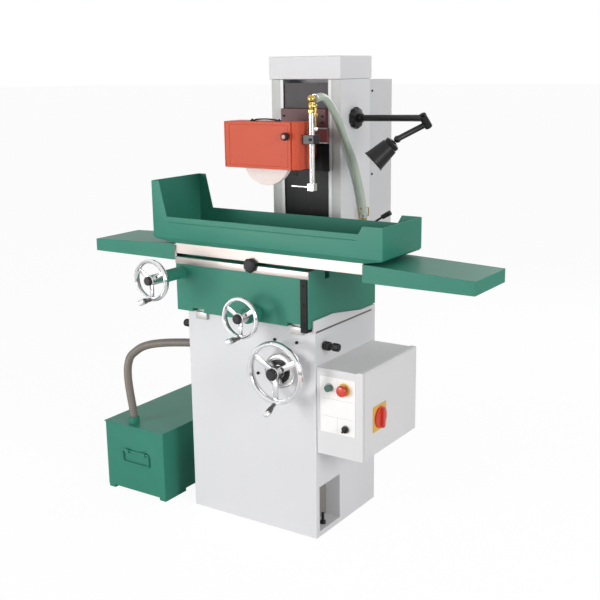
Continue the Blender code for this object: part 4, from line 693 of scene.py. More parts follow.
@dataclass
class BaseCabinet:
    """The cast cabinet with its rear pedestal, side knobs, levelling bolts and drain boss."""

    edge: float = 0.004
    front: float = -0.203
    screw_r: float = 0.0052
    screws: tuple[tuple[float, float], ...] = (
        (0.035, 0.567), (0.1085, 0.6985), (0.198, 0.700), (0.201, 0.592)
    )
    lobes: int = 8

    def build(self) -> None:
        """Builds the casting and its fittings."""
        casting = eased("base_cabinet", "base_casting", self.edge, GREY_PAINT, steps=3)
        settle(casting, "frame", GREY_PAINT)
        face = self.front
        for count, (x, z) in enumerate(self.screws):
            screw = cap_screw(f"base_front_screw_{count + 1}", Vector((x, face, z)), -Y, self.screw_r)
            settle(screw, "frame", BLACK_OXIDE)
        self.way_ends(face)
        self.splash_lip(face)
        for way, side in ((-1, "left"), (1, "right")):
            self.side_knob(side)
            self.levelling_bolt(side)
            self.niche_back(way, side)

    def way_ends(self, face: float) -> None:
        """Shows the bare ends of the two cross ways below the saddle."""
        for side, name in ((-1, "left"), (1, "right")):
            inner, outer = sorted((side * 0.178, side * 0.227))
            end = block(
                f"cross_way_end_{name}",
                (inner, face - 0.0120, 0.7310),
                (outer, face + 0.002, 0.7575),
                0.0012,
                CAST_IRON,
            )
            settle(end, "frame", CAST_IRON)

    def niche_back(self, side: int, name: str) -> None:
        """Lines the back of the recess that holds a levelling bolt with darker grey: painted shade in the
        recess.
        """
        inner, outer = sorted((side * 0.2102, side * 0.2112))
        lining = block(
            f"niche_shade_lining_{name}", (inner, -0.1828, 0.0202), (outer, -0.0482, 0.1858), 0.0003, NICHE_SHADE_GREY
        )
        settle(lining, "frame", NICHE_SHADE_GREY)

    def splash_lip(self, face: float) -> None:
        """Raises a thin sheet along the top's right edge, lower towards the back, over a dark band of painted
        shadow.
        """
        x, foot = 0.2656, 0.738
        outline = [(face - 0.008, foot), (face - 0.008, foot + 0.046), (face + 0.118, foot + 0.047)]
        outline += [(face + 0.305, foot + 0.020), (face + 0.400, foot + 0.003), (face + 0.400, foot)]
        settle(plate("splash_lip", outline, x, x + 0.0046, Facing.X, GREY_PAINT, 0.0008), "frame", GREY_PAINT)
        # The dark band below the sheet is painted shadow.
        low, high = (x + 0.002, face + 0.006, foot + 0.001), (x + 0.0052, face + 0.380, foot + 0.0075)
        settle(block("lip_shadow_band", low, high, 0.0006, DARK_STEEL), "frame", DARK_STEEL)

    def side_knob(self, side: str) -> None:
        """Builds one fluted clamping knob with its waist."""
        node = f"side_lock_knob_{side}"
        low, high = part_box(node)
        out = X if side == "right" else -X
        foot = Vector((low.x if side == "right" else high.x, (low.y + high.y) / 2, (low.z + high.z) / 2))
        length = high.x - low.x
        big = (high.z - low.z) / 2
        profile = [
            (0, 0), (big * 0.72, 0), (big * 0.95, 0.003), (big, 0.006), (big, 0.024), (big * 0.9, 0.027)
        ]
        profile += [(big * 0.58, 0.029), (big * 0.58, 0.034), (big * 0.8, 0.036), (big * 0.92, 0.040)]
        profile += [
            (big * 0.92, length - 0.006), (big * 0.8, length - 0.001), (big * 0.35, length), (0, length)
        ]
        knob = lathe(
            f"side_knob_{side}", profile, foot, out, KNURLED, segments=96, lobes=self.lobes, depth=0.1
        )
        settle(knob, f"lock_{side}", KNURLED, node)

    def levelling_bolt(self, side: str) -> None:
        """Builds one bolt with its foot, nut and thread."""
        node = f"levelling_bolt_{side}"
        low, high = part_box(node)
        foot = Vector(((low.x + high.x) / 2, (low.y + high.y) / 2, low.z))
        height = high.z - low.z
        threads = []
        rest = 0.034
        turns = int((height - rest) / 0.0022)
        for turn in range(turns):
            threads += [(0.0056, rest + turn * 0.0022), (0.0048, rest + (turn + 0.5) * 0.0022)]
        profile = [
            (0, 0),
            (0.0078, 0),
            (0.0078, 0.020),
            (0.0056, rest - 0.001),
            *threads,
            (0.0046, height),
            (0, height),
        ]
        bolt = lathe(f"levelling_stud_{side}", profile, foot, Z, BLACK_OXIDE, segments=24)
        nut = lathe(
            f"levelling_nut_{side}",
            [
                (0.0050, 0.0202),
                (0.0108, 0.0202),
                (0.0114, 0.0212),
                (0.0114, 0.0292),
                (0.0106, 0.0302),
                (0.0050, 0.0302),
            ],
            foot,
            Z,
            BLACK_OXIDE,
            segments=6,
            ring=True,
        )
        settle(joined(f"levelling_set_{side}", [bolt, nut]), "frame", BLACK_OXIDE, node)


@dataclass
class Column:
    """The column with its cap, the sheet cover over the motor and the strips over its ways."""

    def build(self) -> None:
        """Builds the castings and the sheet cover."""
        settle(eased("column", "column_casting", 0.0025, GREY_PAINT, steps=2), "frame", GREY_PAINT)
        settle(eased("column_cap", "column_hood", 0.003, GREY_PAINT, steps=3), "frame", GREY_PAINT)
        cover = eased("rear_cover", "motor_cover", 0.003, COVER_PAINT, steps=2)
        self.press_louvres(cover)
        settle(cover, "frame", COVER_PAINT)
        self.cheek_strips()
        low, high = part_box("rear_cover")
        for row, z in enumerate((low.z + 0.04, (low.z + high.z) / 2, high.z - 0.04)):
            for side in (-1, 1):
                at = Vector((side * (high.x - 0.0002), low.y + 0.012, z))
                screw = cap_screw(f"cover_screw_{row}_{'left' if side < 0 else 'right'}", at, X * side, 0.004)
                settle(screw, "frame", BLACK_OXIDE)

    def cheek_strips(self) -> None:
        """Lays the bright scraped edge and the grey face, painted shade, on each cheek beside the slide's
        channel.
        """
        low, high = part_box("column")
        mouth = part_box("upper_way_cover")[1].x + 0.0012
        for side, name in ((-1, "left"), (1, "right")):
            runs = (
                ("edge", mouth, mouth + 0.013, SCRAPED_FACE),
                ("face", mouth + 0.0135, high.x - 0.002, SHADED_FACE),
            )
            for part, inner, outer, finish in runs:
                a, b = sorted((side * inner, side * outer))
                strip = block(
                    f"cheek_{part}_{name}",
                    (a, low.y - 0.0008, low.z + 0.012),
                    (b, low.y + 0.001, high.z - 0.001),
                    0.0004,
                    finish,
                )
                settle(strip, "frame", finish)

    def press_louvres(self, cover: bpy.types.Object) -> None:
        """Presses a block of shallow cooling louvres into the back of the cover."""
        low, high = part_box("rear_cover")
        count, first, pitch, half_width, half_height, depth = 9, 0.10, 0.022, 0.06, 0.004, 0.001
        slots = []
        for row in range(count):
            z = low.z + first + row * pitch
            near = (-half_width, high.y - depth, z - half_height)
            far = (half_width, high.y + half_height, z + half_height)
            slots.append(block(f"louvre_{row}", near, far, 0.0008, COVER_PAINT))
        press = joined("louvre_press", slots)
        cut = cover.modifiers.new("louvres", "BOOLEAN")
        cut.object = press
        cut.operation = "DIFFERENCE"
        cut.solver = "EXACT"
        graph = bpy.context.evaluated_depsgraph_get()
        mesh = bpy.data.meshes.new_from_object(cover.evaluated_get(graph))
        mesh.shade_flat()
        cover.modifiers.clear()
        cover.data = mesh
        bpy.data.objects.remove(press)


@dataclass
class Wheelhead:
    """The slide, its way covers, the spindle housing and the motor behind."""

    def build(self) -> None:
        """Builds the slide and what it carries."""
        settle(eased("head_slide", "slide_casting", 0.002, MAROON_PAINT), "head", MAROON_PAINT)
        for node, strip in (("upper_way_cover", UPPER_STRIP), ("lower_way_cover", SHADED_LOWER_STRIP)):
            settle(eased(node, f"{node}_strip", 0.0006, strip), "head", strip)
        self.slide_band()
        self.housing()
        self.motor()

    def slide_band(self) -> None:
        """Bolts the cross band of the slide on with four screws."""
        low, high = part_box("head_slide")
        axis = centre_of("wheelhead")
        for count, (x, z) in enumerate(((-0.082, 0.122), (0.083, 0.122), (-0.082, 0.100), (0.083, 0.100))):
            at = Vector((x, low.y - 0.0002, axis.z + z))
            settle(cap_screw(f"slide_screw_{count + 1}", at, -Y, 0.004), "head", BLACK_OXIDE)
        for name, bottom, top, proud, finish in (
            ("arm", 0.029, 0.083, 0.012, ARM_PAINT),
            # The apron is painted near black: painted shade below the arm band.
            ("apron", low.z + 0.001 - axis.z, 0.028, 0.0012, SHADED_LOWER_STRIP),
        ):
            front = low.y - proud
            piece = block(
                f"slide_{name}",
                (low.x + 0.0005, front, axis.z + bottom),
                (high.x - 0.0005, low.y + 0.001, axis.z + top),
                0.001,
                finish,
            )
            settle(piece, "head", finish)
        for count, z in enumerate((0.0305, 0.0815)):
            edge = block(
                f"slide_arm_edge_{count + 1}",
                (low.x + 0.001, low.y - 0.0126, axis.z + z - 0.0025),
                (high.x - 0.001, low.y - 0.011, axis.z + z + 0.0015),
                0.0004,
                SHADED_FACE,
            )
            settle(edge, "head", SHADED_FACE)

    def housing(self) -> None:
        """Turns the spindle housing with its front ring and step."""
        low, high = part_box("wheelhead")
        axis = Vector(((low.x + high.x) / 2, 0, (low.z + high.z) / 2))
        r = (high.x - low.x) / 2
        front, back = -low.y, -high.y
        step = -0.10
        profile = [(r * 0.34, front), (r * 0.62, front), (r * 0.66, front - 0.002), (r * 0.9, front - 0.002)]
        profile += [
            (r, front - 0.006), (r, front - 0.022), (r * 0.965, front - 0.024), (r * 0.965, front - 0.030)
        ]
        profile += [
            (r, front - 0.032), (r, step + 0.002), (r * 0.945, step), (r * 0.945, back), (r * 0.34, back)
        ]
        housing = lathe("spindle_housing", profile, axis, -Y, MAROON_PAINT, segments=64, ring=True)
        settle(housing, "head", MAROON_PAINT, "wheelhead")
        for count in range(6):
            angle = tau * count / 6 + 0.3
            at = axis + Vector((cos(angle), 0, sin(angle))) * r * 0.79 + Y * (low.y + 0.002)
            settle(cap_screw(f"housing_screw_{count + 1}", at, -Y, 0.0035), "head", BLACK_OXIDE)

    def motor(self) -> None:
        """Turns the finned motor inside the rear cover."""
        low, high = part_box("spindle_motor")
        axis = Vector(((low.x + high.x) / 2, 0, (low.z + high.z) / 2))
        r = (high.x - low.x) / 2
        front, back = -low.y, -high.y
        profile = [(0.0165, front), (r * 0.9, front), (r * 0.95, front - 0.004), (r * 0.95, front - 0.02)]
        fins = 14
        pitch = (front - back - 0.06) / fins
        for fin in range(fins):
            start = front - 0.02 - fin * pitch
            profile += [
                (r, start),
                (r, start - pitch * 0.45),
                (r * 0.93, start - pitch * 0.5),
                (r * 0.93, start - pitch * 0.95),
            ]
        profile += [
            (r, back + 0.038),
            (r, back + 0.008),
            (r * 0.9, back),
            (0.02, back),
            (0.02, back + 0.004),
            (0.0165, back + 0.004),
        ]
        motor = lathe("finned_motor", profile, axis, -Y, MOTOR_PAINT, segments=48, ring=True)
        settle(motor, "head", MOTOR_PAINT, "spindle_motor")


@dataclass
class GrindingWheel:
    """The bonded wheel between its flanges, and the spindle nose."""

    chamfer: float = 0.0012

    def build(self) -> None:
        """Builds the wheel, its flange and nut, and dresses the spindle."""
        low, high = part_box("grinding_wheel")
        axis = Vector(((low.x + high.x) / 2, 0, (low.z + high.z) / 2))
        r, bore, c = (high.x - low.x) / 2, 0.0160, self.chamfer
        front, back = -low.y, -high.y
        profile = [
            (bore, back), (r - c, back), (r, back + c), (r, front - c), (r - c, front), (r * 0.52, front)
        ]
        profile += [
            (r * 0.515, front - 0.0012), (r * 0.40, front - 0.0012), (r * 0.395, front), (bore, front)
        ]
        wheel = lathe("vitrified_wheel", profile, axis, -Y, GRIT, segments=96, ring=True)
        settle(wheel, "wheel_spindle", GRIT, "grinding_wheel")
        low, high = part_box("wheel_flange")
        r = (high.x - low.x) / 2
        front, back = -low.y, -high.y
        profile = [
            (bore, back), (r * 0.97, back), (r, back + 0.001), (r, back + 0.0045), (r * 0.86, back + 0.0075)
        ]
        profile += [(r * 0.66, back + 0.008), (bore, back + 0.008)]
        flange = lathe("clamping_flange", profile, axis, -Y, TURNED_STEEL, segments=64, ring=True)
        nut = lathe(
            "flange_hexagon",
            [
                (bore, back + 0.0075),
                (r * 0.64, back + 0.0075),
                (r * 0.66, front - 0.0015),
                (r * 0.58, front),
                (bore, front),
            ],
            axis,
            -Y,
            TURNED_STEEL,
            segments=6,
            ring=True,
        )
        settle(joined("wheel_clamp", [flange, nut]), "wheel_spindle", TURNED_STEEL, "wheel_flange")
        settle(eased("spindle", "spindle_nose", 0.0006, TURNED_STEEL), "wheel_spindle", TURNED_STEEL)


@dataclass
class WheelGuard:
    """The sheet-metal guard with its door, strap handle and catch knob."""

    sheet: float = 0.0018
    handle_left: float = -0.046
    handle_right: float = 0.073
    handle_rise: float = 0.0062

    def build(self) -> None:
        """Builds the shell, the door, the handle and the knob."""
        settle(eased("wheel_guard", "guard_shell", self.sheet, RED_PAINT, steps=3), "head", RED_PAINT)
        settle(eased("guard_door", "guard_cover", 0.0016, RED_PAINT, steps=3), "guard_front", RED_PAINT)
        self.strap_handle()
        self.catch_knob()
        self.door_fixings()
        self.water_flap()

    def strap_handle(self) -> None:
        """Bends a flat black strap into a low lifting handle on the guard's roof."""
        low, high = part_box("wheel_guard")
        y = low.y + 0.030
        top = high.z
        a, b, rise = self.handle_left, self.handle_right, self.handle_rise
        bends = [
            (a, y, top + 0.002),
            (a + 0.010, y, top + 0.002),
            (a + 0.020, y, top + rise * 0.8),
            (a + 0.032, y, top + rise),
        ]
        bends += [
            ((a + b) / 2, y, top + rise + 0.001), (b - 0.032, y, top + rise), (b - 0.020, y, top + rise * 0.8)
        ]
        bends += [(b - 0.010, y, top + 0.002), (b, y, top + 0.002)]
        strap = swept("guard_handle", smooth_route(bends, 0.003), 0.0085, BLACK_RUBBER, sides=16, flatten=0.3)
        settle(strap, "head", BLACK_RUBBER)
        for name, x in (("left", a + 0.004), ("right", b - 0.004)):
            screw = cap_screw(f"handle_screw_{name}", Vector((x, y, top + 0.0035)), Z, 0.0038)
            settle(screw, "head", BLACK_OXIDE)

    def catch_knob(self) -> None:
        """Builds the fluted knob that holds the door shut."""
        low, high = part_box("guard_knob")
        axis = Vector(((low.x + high.x) / 2, 0, (low.z + high.z) / 2))
        r = (high.x - low.x) / 2
        front = -low.y
        back = -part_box("guard_door")[0].y
        profile = [
            (0.004, -high.y), (0.004, back), (r * 0.7, back + 0.0006), (r, back + 0.004), (r, front - 0.003)
        ]
        profile = [
            (0, -high.y),
            *profile,
            (r * 0.85, front - 0.0004),
            (r * 0.56, front - 0.0004),
            (r * 0.52, front - 0.0014),
            (0, front - 0.0014),
        ]
        knob = lathe("door_catch", profile, axis, -Y, KNURLED, segments=72, lobes=12, depth=0.12)
        settle(knob, "guard_catch", KNURLED, "guard_knob")
        disc = lathe(
            "door_catch_cap",
            [(0, front - 0.0012), (r * 0.5, front - 0.0012), (r * 0.5, front), (0, front)],
            axis,
            -Y,
            PALE_RED,
            32,
        )
        settle(disc, "guard_catch", PALE_RED)

    def door_fixings(self) -> None:
        """Adds the pressed rib round the door and the barrel of its hinge."""
        low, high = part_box("guard_door")
        inset = 0.010
        left, right = -0.131 + inset + 0.006, high.x - inset
        corners = [
            (left, low.z + inset), (right, low.z + inset), (right, high.z - inset), (left, high.z - inset)
        ]
        path = []
        for (ax, az), (bx, bz) in zip(corners, corners[1:] + corners[:1]):
            path += [(ax + (bx - ax) * k / 8, low.y + 0.0013, az + (bz - az) * k / 8) for k in range(8)]
        rib = swept("door_rib", path, 0.0016, RED_PAINT, sides=8, closed=True, flatten=0.4)
        settle(rib, "guard_front", RED_PAINT)
        barrel = lathe(
            "hinge_barrel",
            [(0, 0), (0.0034, 0.0004), (0.0034, high.z - low.z - 0.0004), (0, high.z - low.z)],
            (low.x + 0.0036, low.y + 0.0036, low.z),
            Z,
            RED_PAINT,
            20,
        )
        settle(barrel, "guard_front", RED_PAINT)

    def water_flap(self) -> None:
        """Hangs a thin dark flap below the guard's right end."""
        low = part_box("wheel_guard")[0]
        flap = block(
            "water_flap",
            (0.136, low.y + 0.006, low.z - 0.018),
            (0.152, low.y + 0.014, low.z - 0.0002),
            0.0008,
            BLACK_RUBBER,
        )
        settle(flap, "head", BLACK_RUBBER)


@dataclass
class CoolantSupply:
    """The nozzle pipe on its clamp, its brass cock, the clear hose and the valve on the column."""

    hose_r: float = 0.0135
    route: tuple[Point, ...] = (
        (0.188, -0.0690, 1.4980),
        (0.188, -0.0590, 1.4980),
        (0.188, -0.0450, 1.5010),
        (0.188, -0.0280, 1.5030),
        (0.187, -0.0080, 1.5005),
        (0.186, 0.0130, 1.4925),
        (0.184, 0.0370, 1.4780),
        (0.182, 0.0600, 1.4590),
        (0.179, 0.0900, 1.4300),
        (0.175, 0.1250, 1.3940),
        (0.172, 0.1600, 1.3520),
        (0.170, 0.1940, 1.3050),
        (0.169, 0.2260, 1.2550),
        (0.168, 0.2520, 1.2020),
        (0.168, 0.2740, 1.1500),
        (0.168, 0.2890, 1.1000),
        (0.168, 0.2960, 1.0760),
        (0.168, 0.2980, 1.0640),
        (0.168, 0.2980, 1.0545),
    )

    def hose(self) -> None:
        """Lays the hose from the cock to the valve on the column, with its clips."""
        path = smooth_route(self.route, 0.008)
        tube = swept("coolant_supply_hose", path, self.hose_r, CLEAR_HOSE, sides=20)
        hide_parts("coolant_hose")
        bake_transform(tube)
        self.clip("hose_clip", Vector(self.route[-1]) + Z * 0.008, Z, "frame")
        self.clip("hose_clip_top", Vector(self.route[0]) + Y * 0.006, Y, "head")
        foot = Vector(self.route[-1]) + Z * 0.030
        for side, name in ((-1, "front"), (1, "rear")):
            ear = foot + Y * side * (self.hose_r + 0.001)
            bends = [
                ear,
                ear + Y * side * 0.008 + Z * 0.006,
                ear + Y * side * 0.020 + Z * 0.002,
                ear + Y * side * 0.019 - Z * 0.028,
            ]
            settle(
                swept(f"clip_ear_{name}", smooth_route(bends, 0.002), 0.0021, BRASS, sides=10), "frame", BRASS
            )

    def clip(self, name: str, at: Vector, way: Vector, body: str) -> None:
        """Closes a thin band round the hose."""
        r = self.hose_r
        band = lathe(
            name,
            [(r + 0.0002, -0.003), (r + 0.0016, -0.003), (r + 0.0016, 0.003), (r + 0.0002, 0.003)],
            at,
            way,
            SATIN_CHROME,
            48,
            ring=True,
        )
        settle(band, body, SATIN_CHROME)

    def cock(self) -> None:
        """Turns the brass cock with its hexagon, body, ball and stem, and its blade lever."""
        low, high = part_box("coolant_valve")
        axis = Vector((self.route[0][0], (low.y + high.y) / 2, low.z))
        h = high.z - low.z
        ball = (high.y - low.y) / 2
        r = ball * 0.88
        lower = lathe(
            "cock_hexagon",
            [(0, 0), (r * 0.94, 0), (r * 0.98, 0.0015), (r * 0.98, 0.010), (r * 0.9, 0.0115), (0, 0.0115)],
            axis,
            Z,
            BRASS,
            segments=6,
        )
        body = lathe(
            "cock_body",
            [
                (0, 0.010),
                (r * 0.66, 0.010),
                (r * 0.84, 0.0145),
                (r * 0.88, 0.021),
                (r * 0.84, 0.027),
                (r * 0.7, 0.031),
                (r * 0.7, h - ball),
            ],
            axis,
            Z,
            BRASS,
            segments=32,
        )
        arc = [
            (ball * sin(a), h - ball - ball * cos(a))
            for a in [pi * (0.12 + 0.88 * k / 18) for k in range(18)]
        ]
        upper = lathe("cock_ball", [*arc, (0, h)], axis, Z, BRASS, segments=32)
        stem_low, stem_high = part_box("valve_lever")
        pivot = Vector((stem_low.x, axis.y, stem_high.z - 0.007))
        stem = lathe(
            "cock_stem",
            [(0, 0), (0.0045, 0), (0.0045, pivot.x - axis.x - 0.0004), (0, pivot.x - axis.x - 0.0004)],
            (axis.x, axis.y, pivot.z),
            X,
            BRASS,
            20,
        )
        settle(joined("brass_cock", [lower, body, upper, stem]), "nozzle", BRASS, "coolant_valve")
        hub = lathe(
            "lever_hub",
            [(0, 0), (0.0068, 0), (0.0068, 0.0042), (0.005, 0.005), (0, 0.005)],
            pivot,
            X,
            BRASS,
            24,
        )
        outline = [
            (-0.0032, -0.068),
            (-0.002, -0.0702),
            (0.002, -0.0702),
            (0.0032, -0.068),
            (0.0040, -0.02),
            (0.0052, 0.0),
            (0.002, 0.006),
            (-0.002, 0.006),
            (-0.0052, 0.0),
            (-0.0040, -0.02),
        ]
        blade = plate(
            "lever_arm",
            [(pivot.y + a, pivot.z + b) for a, b in outline],
            pivot.x + 0.001,
            pivot.x + 0.0038,
            Facing.X,
            BRASS,
        )
        settle(joined("cock_lever", [hub, blade]), "nozzle_cock", BRASS, "valve_lever")

    def nozzle(self) -> None:
        """Builds the pipe, its corner block and jet, and the clamp that holds it."""
        settle(eased("nozzle_pipe", "nozzle_tube", 0.0012, TURNED_STEEL), "nozzle", TURNED_STEEL)
        settle(eased("nozzle_clamp", "clamp_block", 0.0015, BAKELITE), "head", BAKELITE)
        low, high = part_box("nozzle_clamp")
        at = Vector(((low.x + high.x) / 2 + 0.010, low.y, (low.z + high.z) / 2))
        settle(cap_screw("clamp_screw", at, -Y, 0.0045), "head", BLACK_OXIDE)
        axis_x, axis_y = self.route[0][0], self.route[0][1]
        for name, z in (("lower", high.z + 0.012), ("upper", high.z + 0.058)):
            profile = [
                (0.0098, 0),
                (0.0128, 0.0005),
                (0.0135, 0.003),
                (0.0135, 0.009),
                (0.0128, 0.0115),
                (0.0098, 0.012),
            ]
            collar = lathe(
                f"pipe_collar_{name}",
                profile,
                (axis_x, axis_y, z),
                Z,
                BRASS if name == "upper" else TURNED_STEEL,
                6,
                ring=True,
            )
            settle(collar, "nozzle", BRASS if name == "upper" else TURNED_STEEL)

    def wall_valve(self) -> None:
        """Builds the valve on the column and its cranked lever."""
        settle(eased("supply_valve", "column_valve", 0.0008, BRASS), "frame", BRASS)
        settle(eased("supply_lever", "column_valve_lever", 0.0008, BLACK_RUBBER), "supply_cock", BLACK_RUBBER)

    def build(self) -> None:
        """Builds the whole supply."""
        self.hose()
        self.cock()
        self.nozzle()
        self.wall_valve()


@dataclass
class WorkLamp:
    """The jointed lamp on the column's side."""

    elbow: Point = (0.464, 0.197, 1.418)
    neck: Point = (0.385, 0.147, 1.358)
    mouth: Point = (0.318, 0.097, 1.283)
    flutes: int = 10

    def build(self) -> None:
        """Builds the base, the two arms and the shade with its bulb."""
        low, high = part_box("lamp_base")
        start = Vector((low.x, (low.y + high.y) / 2, (low.z + high.z) / 2))
        r, t = (high.z - low.z) / 2, high.x - low.x
        profile = [
            (0, 0),
            (r * 0.86, 0),
            (r * 0.96, 0.002),
            (r, 0.006),
            (r, t - 0.007),
            (r * 0.93, t - 0.002),
            (r * 0.7, t),
            (0, t),
        ]
        base = lathe("lamp_foot", profile, start, X, LAMP_PAINT, segments=120, lobes=self.flutes, depth=0.09)
        settle(base, "frame", LAMP_PAINT, "lamp_base")
        settle(eased("lamp_lower_arm", "lamp_arm_lower", 0.0012, LAMP_PAINT), "lamp_lower", LAMP_PAINT)
        settle(eased("lamp_upper_arm", "lamp_arm_upper", 0.0012, LAMP_PAINT), "lamp_upper", LAMP_PAINT)
        self.elbow_knob()
        self.shade()

    def elbow_knob(self) -> None:
        """Puts a fluted tightening knob on the elbow's outer end."""
        pivot = Vector((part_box("lamp_base")[1].x, 0.260, 1.420))
        one = (Vector(self.elbow) - pivot).normalized()
        two = (Vector(self.neck) - Vector(self.elbow)).normalized()
        axis = one.cross(two).normalized()
        profile = [(0, 0), (0.006, 0), (0.007, 0.001), (0.007, 0.005), (0.005, 0.006), (0, 0.006)]
        start = Vector(self.elbow) - axis * 0.0263
        knob = lathe("elbow_knob", profile, start, -axis, KNURLED, segments=60, lobes=10, depth=0.14)
        settle(knob, "lamp_lower", KNURLED)

    def shade(self) -> None:
        """Turns the shade with its cooling ribs and lip, the pale inside and the bulb."""
        neck, mouth = Vector(self.neck), Vector(self.mouth)
        way = (mouth - neck).normalized()
        length = (mouth - neck).length
        top = 0.0131
        small, wide, wall = 0.027, 0.041, 0.0016
        outer = [(0, top), (0.012, top), (small * 0.72, top + 0.003), (small * 0.97, top + 0.007)]
        for rib in range(3):
            z = top + 0.009 + rib * 0.0035
            outer += [(small, z), (small, z + 0.0018), (small * 0.94, z + 0.0022), (small * 0.94, z + 0.0030)]
        outer += [
            (small, 0.0335),
            (small + 0.003, 0.036),
            (wide - 0.003, length - 0.010),
            (wide - 0.002, length - 0.004),
        ]
        outer += [(wide, length - 0.003), (wide, length), (wide - wall, length)]
        inner = [(wide - wall - 0.002, length - 0.004), (small + 0.001, 0.038), (0, 0.031)]
        shell = lathe("shade_shell", outer, neck, way, LAMP_PAINT, segments=64)
        lining = lathe("shade_lining", [(wide - wall, length), *inner], neck, way, REFLECTOR, segments=64)
        bulb = lathe(
            "lamp_bulb",
            [
                (0, 0.032),
                (0.012, 0.033),
                (0.012, 0.048),
                (0.021, 0.062),
                (0.024, 0.076),
                (0.020, 0.089),
                (0.010, 0.097),
                (0, 0.099),
            ],
            neck,
            way,
            REFLECTOR,
            segments=32,
        )
        settle(joined("lamp_hood", [shell, lining, bulb]), "lamp_head", LAMP_PAINT, "lamp_shade")


@dataclass
class Handwheel:
    """A dished chrome handwheel with three flat spokes, a hub cap and a revolving grip."""

    node: str
    body: str
    grip_node: str
    grip_body: str
    rim_r: float
    rim_w: float
    plane: float
    hub_r: float
    hub_front: float
    cap_r: float
    cap_h: float
    spoke_w: float
    metal: Finish = CHROME
    lean: float = 0.0

    def build(self) -> None:
        """Builds the rim, spokes, hub, black cap and grip."""
        low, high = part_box(self.node)
        centre = Vector(((low.x + high.x) / 2, 0, (low.z + high.z) / 2))
        out = (high.x - low.x) / 2
        radius = out - self.rim_r
        plane = self.plane
        centre.y = plane
        section = []
        for step in range(14):
            angle = tau * step / 14
            section.append((radius + self.rim_r * cos(angle), self.rim_w * sin(angle)))
        rim = lathe(f"{self.node}_rim", section, centre, -Y, CHROME, segments=96, ring=True)
        hub_low = -(high.y - plane) + 0.0002
        hub = [(self.hub_r * 0.55, hub_low), (self.hub_r * 0.92, hub_low), (self.hub_r, hub_low + 0.002)]
        hub += [
            (self.hub_r, self.hub_front - 0.003),
            (self.hub_r * 0.86, self.hub_front),
            (self.hub_r * 0.55, self.hub_front),
        ]
        pieces = [rim, lathe(f"{self.node}_hub", hub, centre, -Y, SATIN_CHROME, segments=48, ring=True)]
        for count in range(3):
            pieces.append(self.spoke(count, centre, radius))
        settle(joined(f"{self.node}_cast", pieces), self.body, CHROME, self.node)
        profile = [
            (0, self.hub_front - 0.002),
            (self.cap_r * 0.9, self.hub_front - 0.002),
            (self.cap_r, self.hub_front + 0.001),
        ]
        profile += [
            (self.cap_r, self.hub_front + self.cap_h * 0.75),
            (self.cap_r * 0.8, self.hub_front + self.cap_h),
            (0, self.hub_front + self.cap_h),
        ]
        cap = lathe(f"{self.node}_cap", profile, centre, -Y, KNURLED, segments=72, lobes=12, depth=0.1)
        settle(cap, self.body, KNURLED)
        self.grip(centre - Z * radius)

    def spoke(self, count: int, centre: Vector, radius: float) -> bpy.types.Object:
        """Cuts one flat spoke, wide at the hub and a little slimmer at the rim."""
        angle = tau * count / 3
        way = Vector((-sin(angle), 0, -cos(angle)))
        side = Vector((-cos(angle), 0, sin(angle)))
        near, far = self.hub_r * 0.6, radius - self.rim_r * 0.2
        wide, slim = self.spoke_w / 2, self.spoke_w * 0.42
        corners = [
            way * near - side * wide,
            way * far - side * slim,
            way * far + side * slim,
            way * near + side * wide,
        ]
        outline = [(centre.x + corner.x, centre.z + corner.z) for corner in corners]
        name = f"{self.node}_spoke_{count}"
        return plate(
            name,
            outline,
            centre.y - self.rim_r * 0.45,
            centre.y + self.rim_r * 0.45,
            Facing.Y,
            CHROME,
            0.0022,
        )

    def grip(self, foot: Vector) -> None:
        """Turns the revolving handle: collar, waist and rounded end."""
        low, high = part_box(self.grip_node)
        way = -Y * cos(self.lean) - Z * sin(self.lean)
        start = foot + way * (
            1 / sqrt((cos(self.lean) / self.rim_w) ** 2 + (sin(self.lean) / self.rim_r) ** 2) + 0.0003
        )
        r = (high.x - low.x) / 2
        length = (start.y - low.y - r * 0.9 * sin(self.lean)) / cos(self.lean)
        profile = [
            (0, 0), (r * 0.62, 0), (r * 0.68, 0.0012), (r * 0.68, 0.0045), (r * 0.5, 0.006), (r * 0.52, 0.009)
        ]
        profile += [
            (r * 0.78, length * 0.34),
            (r * 0.95, length * 0.6),
            (r * 0.99, length * 0.76),
            (r * 0.9, length * 0.9),
        ]
        profile += [(r * 0.6, length * 0.98), (0, length)]
        handle = lathe(f"{self.grip_node}_turned", profile, start, way, self.metal, segments=32)
        settle(handle, self.grip_body, self.metal, self.grip_node)
        tip = lathe(
            f"{self.grip_node}_end",
            [
                (0, length * 0.72),
                (r * 0.995, length * 0.72),
                (r, length * 0.8),
                (r * 0.93, length * 0.92),
                (r * 0.62, length * 0.995),
                (0, length),
            ],
            start,
            way,
            CHROME,
            segments=32,
        )
        settle(tip, self.grip_body, CHROME)


